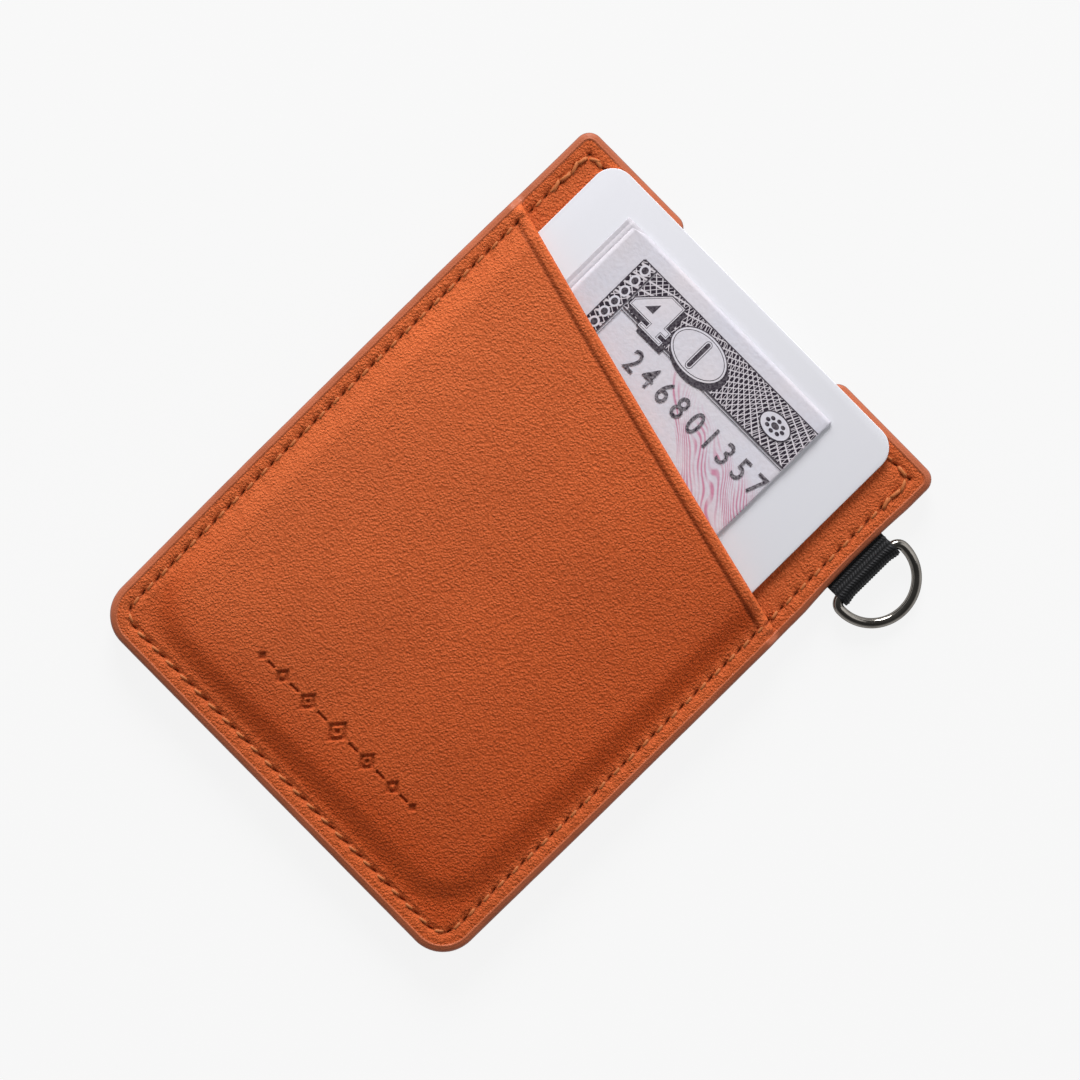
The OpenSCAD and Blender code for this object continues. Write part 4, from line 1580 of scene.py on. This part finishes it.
class WALLET_OT_stage(bpy.types.Operator):
    """Make the floor, the lights and the camera"""

    bl_idname = "wallet.stage"
    bl_label = "Stage"

    def execute(self, context):
        stage = settings(context)[2]
        scene = context.scene
        scene.view_settings.view_transform = "Standard"
        self.make_floor(scene)
        self.make_sky(scene, stage)
        self.make_lights(scene, stage)
        self.make_camera(scene, stage)
        return {"FINISHED"}

    def make_floor(self, scene):
        """A wide pale floor that glows a little, so that shadows on it stay soft."""
        bm = bmesh.new()
        bmesh.ops.create_grid(bm, x_segments=1, y_segments=1, size=2000)
        bmesh.ops.translate(bm, vec=(0, 0, -0.02), verts=bm.verts)
        material, tree, shader, place = new_material(
            "Floor", Roughness=0.9, Emission_Color=(0.925, 0.925, 0.925, 1), Emission_Strength=0.95
        )
        clouds, _specks = mottled(tree, place, 8.0)
        pale = mix_colour(tree, clouds, (0.045, 0.045, 0.045, 1), (0.05, 0.05, 0.05, 1))
        wire(tree, shader, Base_Color=pale)
        floor = finish_piece(bm, "floor", None, material, recalculate=False)

    def make_sky(self, scene, stage):
        """Even light from the sides and less from straight above."""
        world = bpy.data.worlds.new("Studio")
        world.use_nodes = True
        tree = world.node_tree
        background = tree.nodes["Background"]
        place = tree.nodes.new("ShaderNodeTexCoord").outputs["Generated"]
        up = split_xyz(tree, place)[2]
        key_side = add(tree, "ShaderNodeVectorMath", {0: place, 1: (-0.7, 0.7, 0)}, operation="DOT_PRODUCT")
        side = mapped(tree, key_side.outputs["Value"], -1.0, 1.0, 0.4, 1.6)
        shade = times(tree, mapped(tree, up, 0.2, 0.6, 3.2, 0.35), side)
        grey = add(tree, "ShaderNodeCombineColor", {0: shade, 1: shade, 2: shade})
        wire(tree, background, Color=grey.outputs[0])
        background.inputs["Strength"].default_value = stage.sky
        scene.world = world

    def make_lights(self, scene, stage):
        """A large soft key light from the upper left of the wallet, and a weaker one facing it."""
        for name, place, power, size in (
            ("key", Vector((-0.936, 0.936, 0.705)), stage.key_power, 0.75),
            ("fill", Vector((0.45, 0.90, 0.825)), stage.key_power * 0.1, 0.9),
        ):
            data = bpy.data.lights.new(name, "AREA")
            data.shape = "DISK"
            data.size = size
            data.energy = power
            lamp = bpy.data.objects.new(name, data)
            scene.collection.objects.link(lamp)
            lamp.location = place
            lamp.rotation_euler = place.to_track_quat("Z", "Y").to_euler()

    def make_camera(self, scene, stage):
        """A long lens that looks straight down."""
        data = bpy.data.cameras.new("camera")
        data.lens = stage.lens
        distance = stage.width * data.lens / data.sensor_width
        data.clip_start, data.clip_end = 0.01, 10.0
        camera = bpy.data.objects.new("camera", data)
        scene.collection.objects.link(camera)
        camera.location = (*VIEW_CENTRE * MM, FLANGE_TOP * MM + distance)
        camera.rotation_euler = (0, 0, stage.roll)
        scene.camera = camera


class WALLET_OT_front_pocket(bpy.types.Operator):
    """Make the front pocket with its lining and mouth tape"""

    bl_idname = "wallet.front_pocket"
    bl_label = "Front Pocket"

    def execute(self, context):
        sizes, colours, _stage = settings(context)
        leather, lining = leather_material(colours), lining_material(colours)
        finish_piece(front_pocket(sizes), "pocket_front", "wallet", leather, ["front_pocket"])
        bm = pocket_layer(sizes, 1.7, None, 0.02, 0.18)
        finish_piece(bm, "pocket_front_lining", "wallet", lining, ["front_pocket_lining"])
        bm = pocket_layer(sizes, 0.35, 1.65, 0.02, 0.2)
        finish_piece(bm, "pocket_front_tape", "wallet", lining, ["front_mouth_tape"])
        return {"FINISHED"}


class WALLET_OT_panels(bpy.types.Operator):
    """Make the two notched panels, the board between them and the rear pocket"""

    bl_idname = "wallet.panels"
    bl_label = "Panels and Rear Pocket"

    def execute(self, context):
        _sizes, colours, _stage = settings(context)
        leather, lining = leather_material(colours), lining_material(colours)
        bm = panel(PANEL_TOP, BOARD_HIGH, 1)
        finish_piece(bm, "panel_centre", "wallet", leather, ["centre_panel"])
        bm = panel(PANEL_LOW, BOARD_LOW, -1)
        finish_piece(bm, "panel_back", "wallet", leather, ["back_panel"])
        finish_piece(rear_pocket(), "pocket_rear", "wallet", leather, ["rear_pocket"])
        finish_piece(board(), "board_core", "wallet", board_material(colours), ["core_board"])
        finish_piece(rear_lining(), "pocket_rear_lining", "wallet", lining, ["rear_pocket_lining"])
        carried = frame["nodes"]["rear_mouth_tape"]
        carried.data.materials.clear()
        carried.data.materials.append(lining)
        return {"FINISHED"}


class WALLET_OT_edges(bpy.types.Operator):
    """Paint the cut edges"""

    bl_idname = "wallet.edges"
    bl_label = "Painted Edges"

    def execute(self, context):
        _sizes, colours, _stage = settings(context)
        finish_piece(edge_band(), "edge_band", "wallet", edge_material(colours), ["edge_paint"])
        return {"FINISHED"}


class WALLET_OT_seams(bpy.types.Operator):
    """Lay the needle and bobbin threads of both seams"""

    bl_idname = "wallet.seams"
    bl_label = "Seams"

    def execute(self, context):
        sizes, colours, _stage = settings(context)
        thread = thread_material(colours)
        thickness = sizes.thread / MM
        side, left_horn, right_horn = SEAMS["side"], SEAMS["left_horn"], SEAMS["right_horn"]
        side_end, horn_end = side.length, right_horn.length
        side_tacks = [
            (side, 0.2, 2.4, 0.18, -0.32),
            (side, 1.4, 3.9, 0.16, 0.28),
            (side, 3.2, 5.6, 0.14, -0.28),
            (side, 4.9, 7.3, 0.12, 0.24),
            (side, side_end - 2.4, side_end - 0.2, 0.18, 0.32),
            (side, side_end - 4.0, side_end - 1.5, 0.16, -0.28),
            (side, side_end - 5.7, side_end - 3.4, 0.14, 0.24),
        ]
        top_tacks = [
            (left_horn, 0.2, 2.1, 0.14, 0.3),
            (left_horn, 0.8, 2.7, 0.1, -0.24),
            (right_horn, horn_end - 2.6, horn_end - 0.3, 0.14, -0.25),
        ]
        for name, routes, ground, outward, node, tacks in (
            ("seam_side_front", [side], front_ground, 1, "side_seam_needle_thread", side_tacks),
            ("seam_side_back", [side], back_ground, -1, "side_seam_bobbin_thread", ()),
            ("seam_top_front", TOP_SEAMS, front_ground, 1, "top_seam_needle_thread", top_tacks),
            ("seam_top_back", TOP_SEAMS, back_ground, -1, "top_seam_bobbin_thread", ()),
        ):
            bm = lay_seam(routes, ground, outward, thickness, tacks)
            finish_piece(bm, name, "wallet", thread, [node])
        return {"FINISHED"}


class WALLET_OT_tab(bpy.types.Operator):
    """Make the woven tab, whose tape turns where it leaves the seam"""

    bl_idname = "wallet.tab"
    bl_label = "Woven Tab"

    def execute(self, context):
        _sizes, colours, _stage = settings(context)
        material, nodes = webbing_material(colours), ["tab_tail", "tab_loop"]
        tape = finish_piece(tab_tape(), "tab_tape", None, material, nodes, recalculate=False)
        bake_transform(tape)
        return {"FINISHED"}


class WALLET_OT_ring(bpy.types.Operator):
    """Bend the D ring"""

    bl_idname = "wallet.ring"
    bl_label = "D Ring"

    def execute(self, context):
        sizes, colours, _stage = settings(context)
        bm = ring_mesh(sizes.wire / MM / 2)
        finish_piece(bm, "ring_wire", "ring", metal_material(colours), ["d_ring"])
        return {"FINISHED"}


class WALLET_OT_card(bpy.types.Operator):
    """Put the card in the pocket"""

    bl_idname = "wallet.card"
    bl_label = "Card"

    def execute(self, context):
        _sizes, colours, _stage = settings(context)
        bm = rounded_plate(CARD_LOW, CARD_HIGH, CARD_CORNER_R, CARD_RIM_R)
        finish_piece(bm, "card_blank", "card", card_material(colours), ["card"])
        return {"FINISHED"}


class WALLET_OT_note(bpy.types.Operator):
    """Fold the banknote and print it"""

    bl_idname = "wallet.note"
    bl_label = "Banknote"

    def execute(self, context):
        _sizes, colours, _stage = settings(context)
        sheet, paper = note_sheet(), note_material(colours)
        finish_piece(sheet, "note_sheet", "note", paper, ["banknote"], recalculate=False)
        note_print(colours)
        return {"FINISHED"}


class WALLET_PT_panel(bpy.types.Panel):
    """Wallet"""

    bl_label = "Card Wallet"
    bl_idname = "WALLET_PT_panel"
    bl_space_type = "VIEW_3D"
    bl_region_type = "UI"
    bl_category = "Wallet"

    def draw(self, context):
        for group in settings(context):
            box = self.layout.box()
            for name in group.__annotations__:
                box.prop(group, name)
        for operator in OPERATORS:
            self.layout.operator(operator.bl_idname)


PROPERTIES = ("wallet_sizes", "wallet_colours", "wallet_stage")
GROUPS = (WalletSizes, WalletColours, WalletStage)
OPERATORS = (
    WALLET_OT_stage,
    WALLET_OT_front_pocket,
    WALLET_OT_panels,
    WALLET_OT_edges,
    WALLET_OT_seams,
    WALLET_OT_tab,
    WALLET_OT_ring,
    WALLET_OT_card,
    WALLET_OT_note,
)


def register():
    """Registers the classes and the scene's property groups."""
    for cls in (*GROUPS, *OPERATORS, WALLET_PT_panel):
        bpy.utils.register_class(cls)
    for name, group in zip(PROPERTIES, GROUPS):
        setattr(bpy.types.Scene, name, PointerProperty(type=group))


def unregister():
    """Removes them again."""
    for name in PROPERTIES:
        delattr(bpy.types.Scene, name)
    for cls in reversed((*GROUPS, *OPERATORS, WALLET_PT_panel)):
        bpy.utils.unregister_class(cls)


def main():
    """Builds everything."""
    register()
    bpy.ops.wallet.stage()
    bpy.ops.wallet.front_pocket()
    bpy.ops.wallet.panels()
    bpy.ops.wallet.edges()
    bpy.ops.wallet.seams()
    bpy.ops.wallet.tab()
    bpy.ops.wallet.ring()
    bpy.ops.wallet.card()
    bpy.ops.wallet.note()


if __name__ == "__main__":
    main()
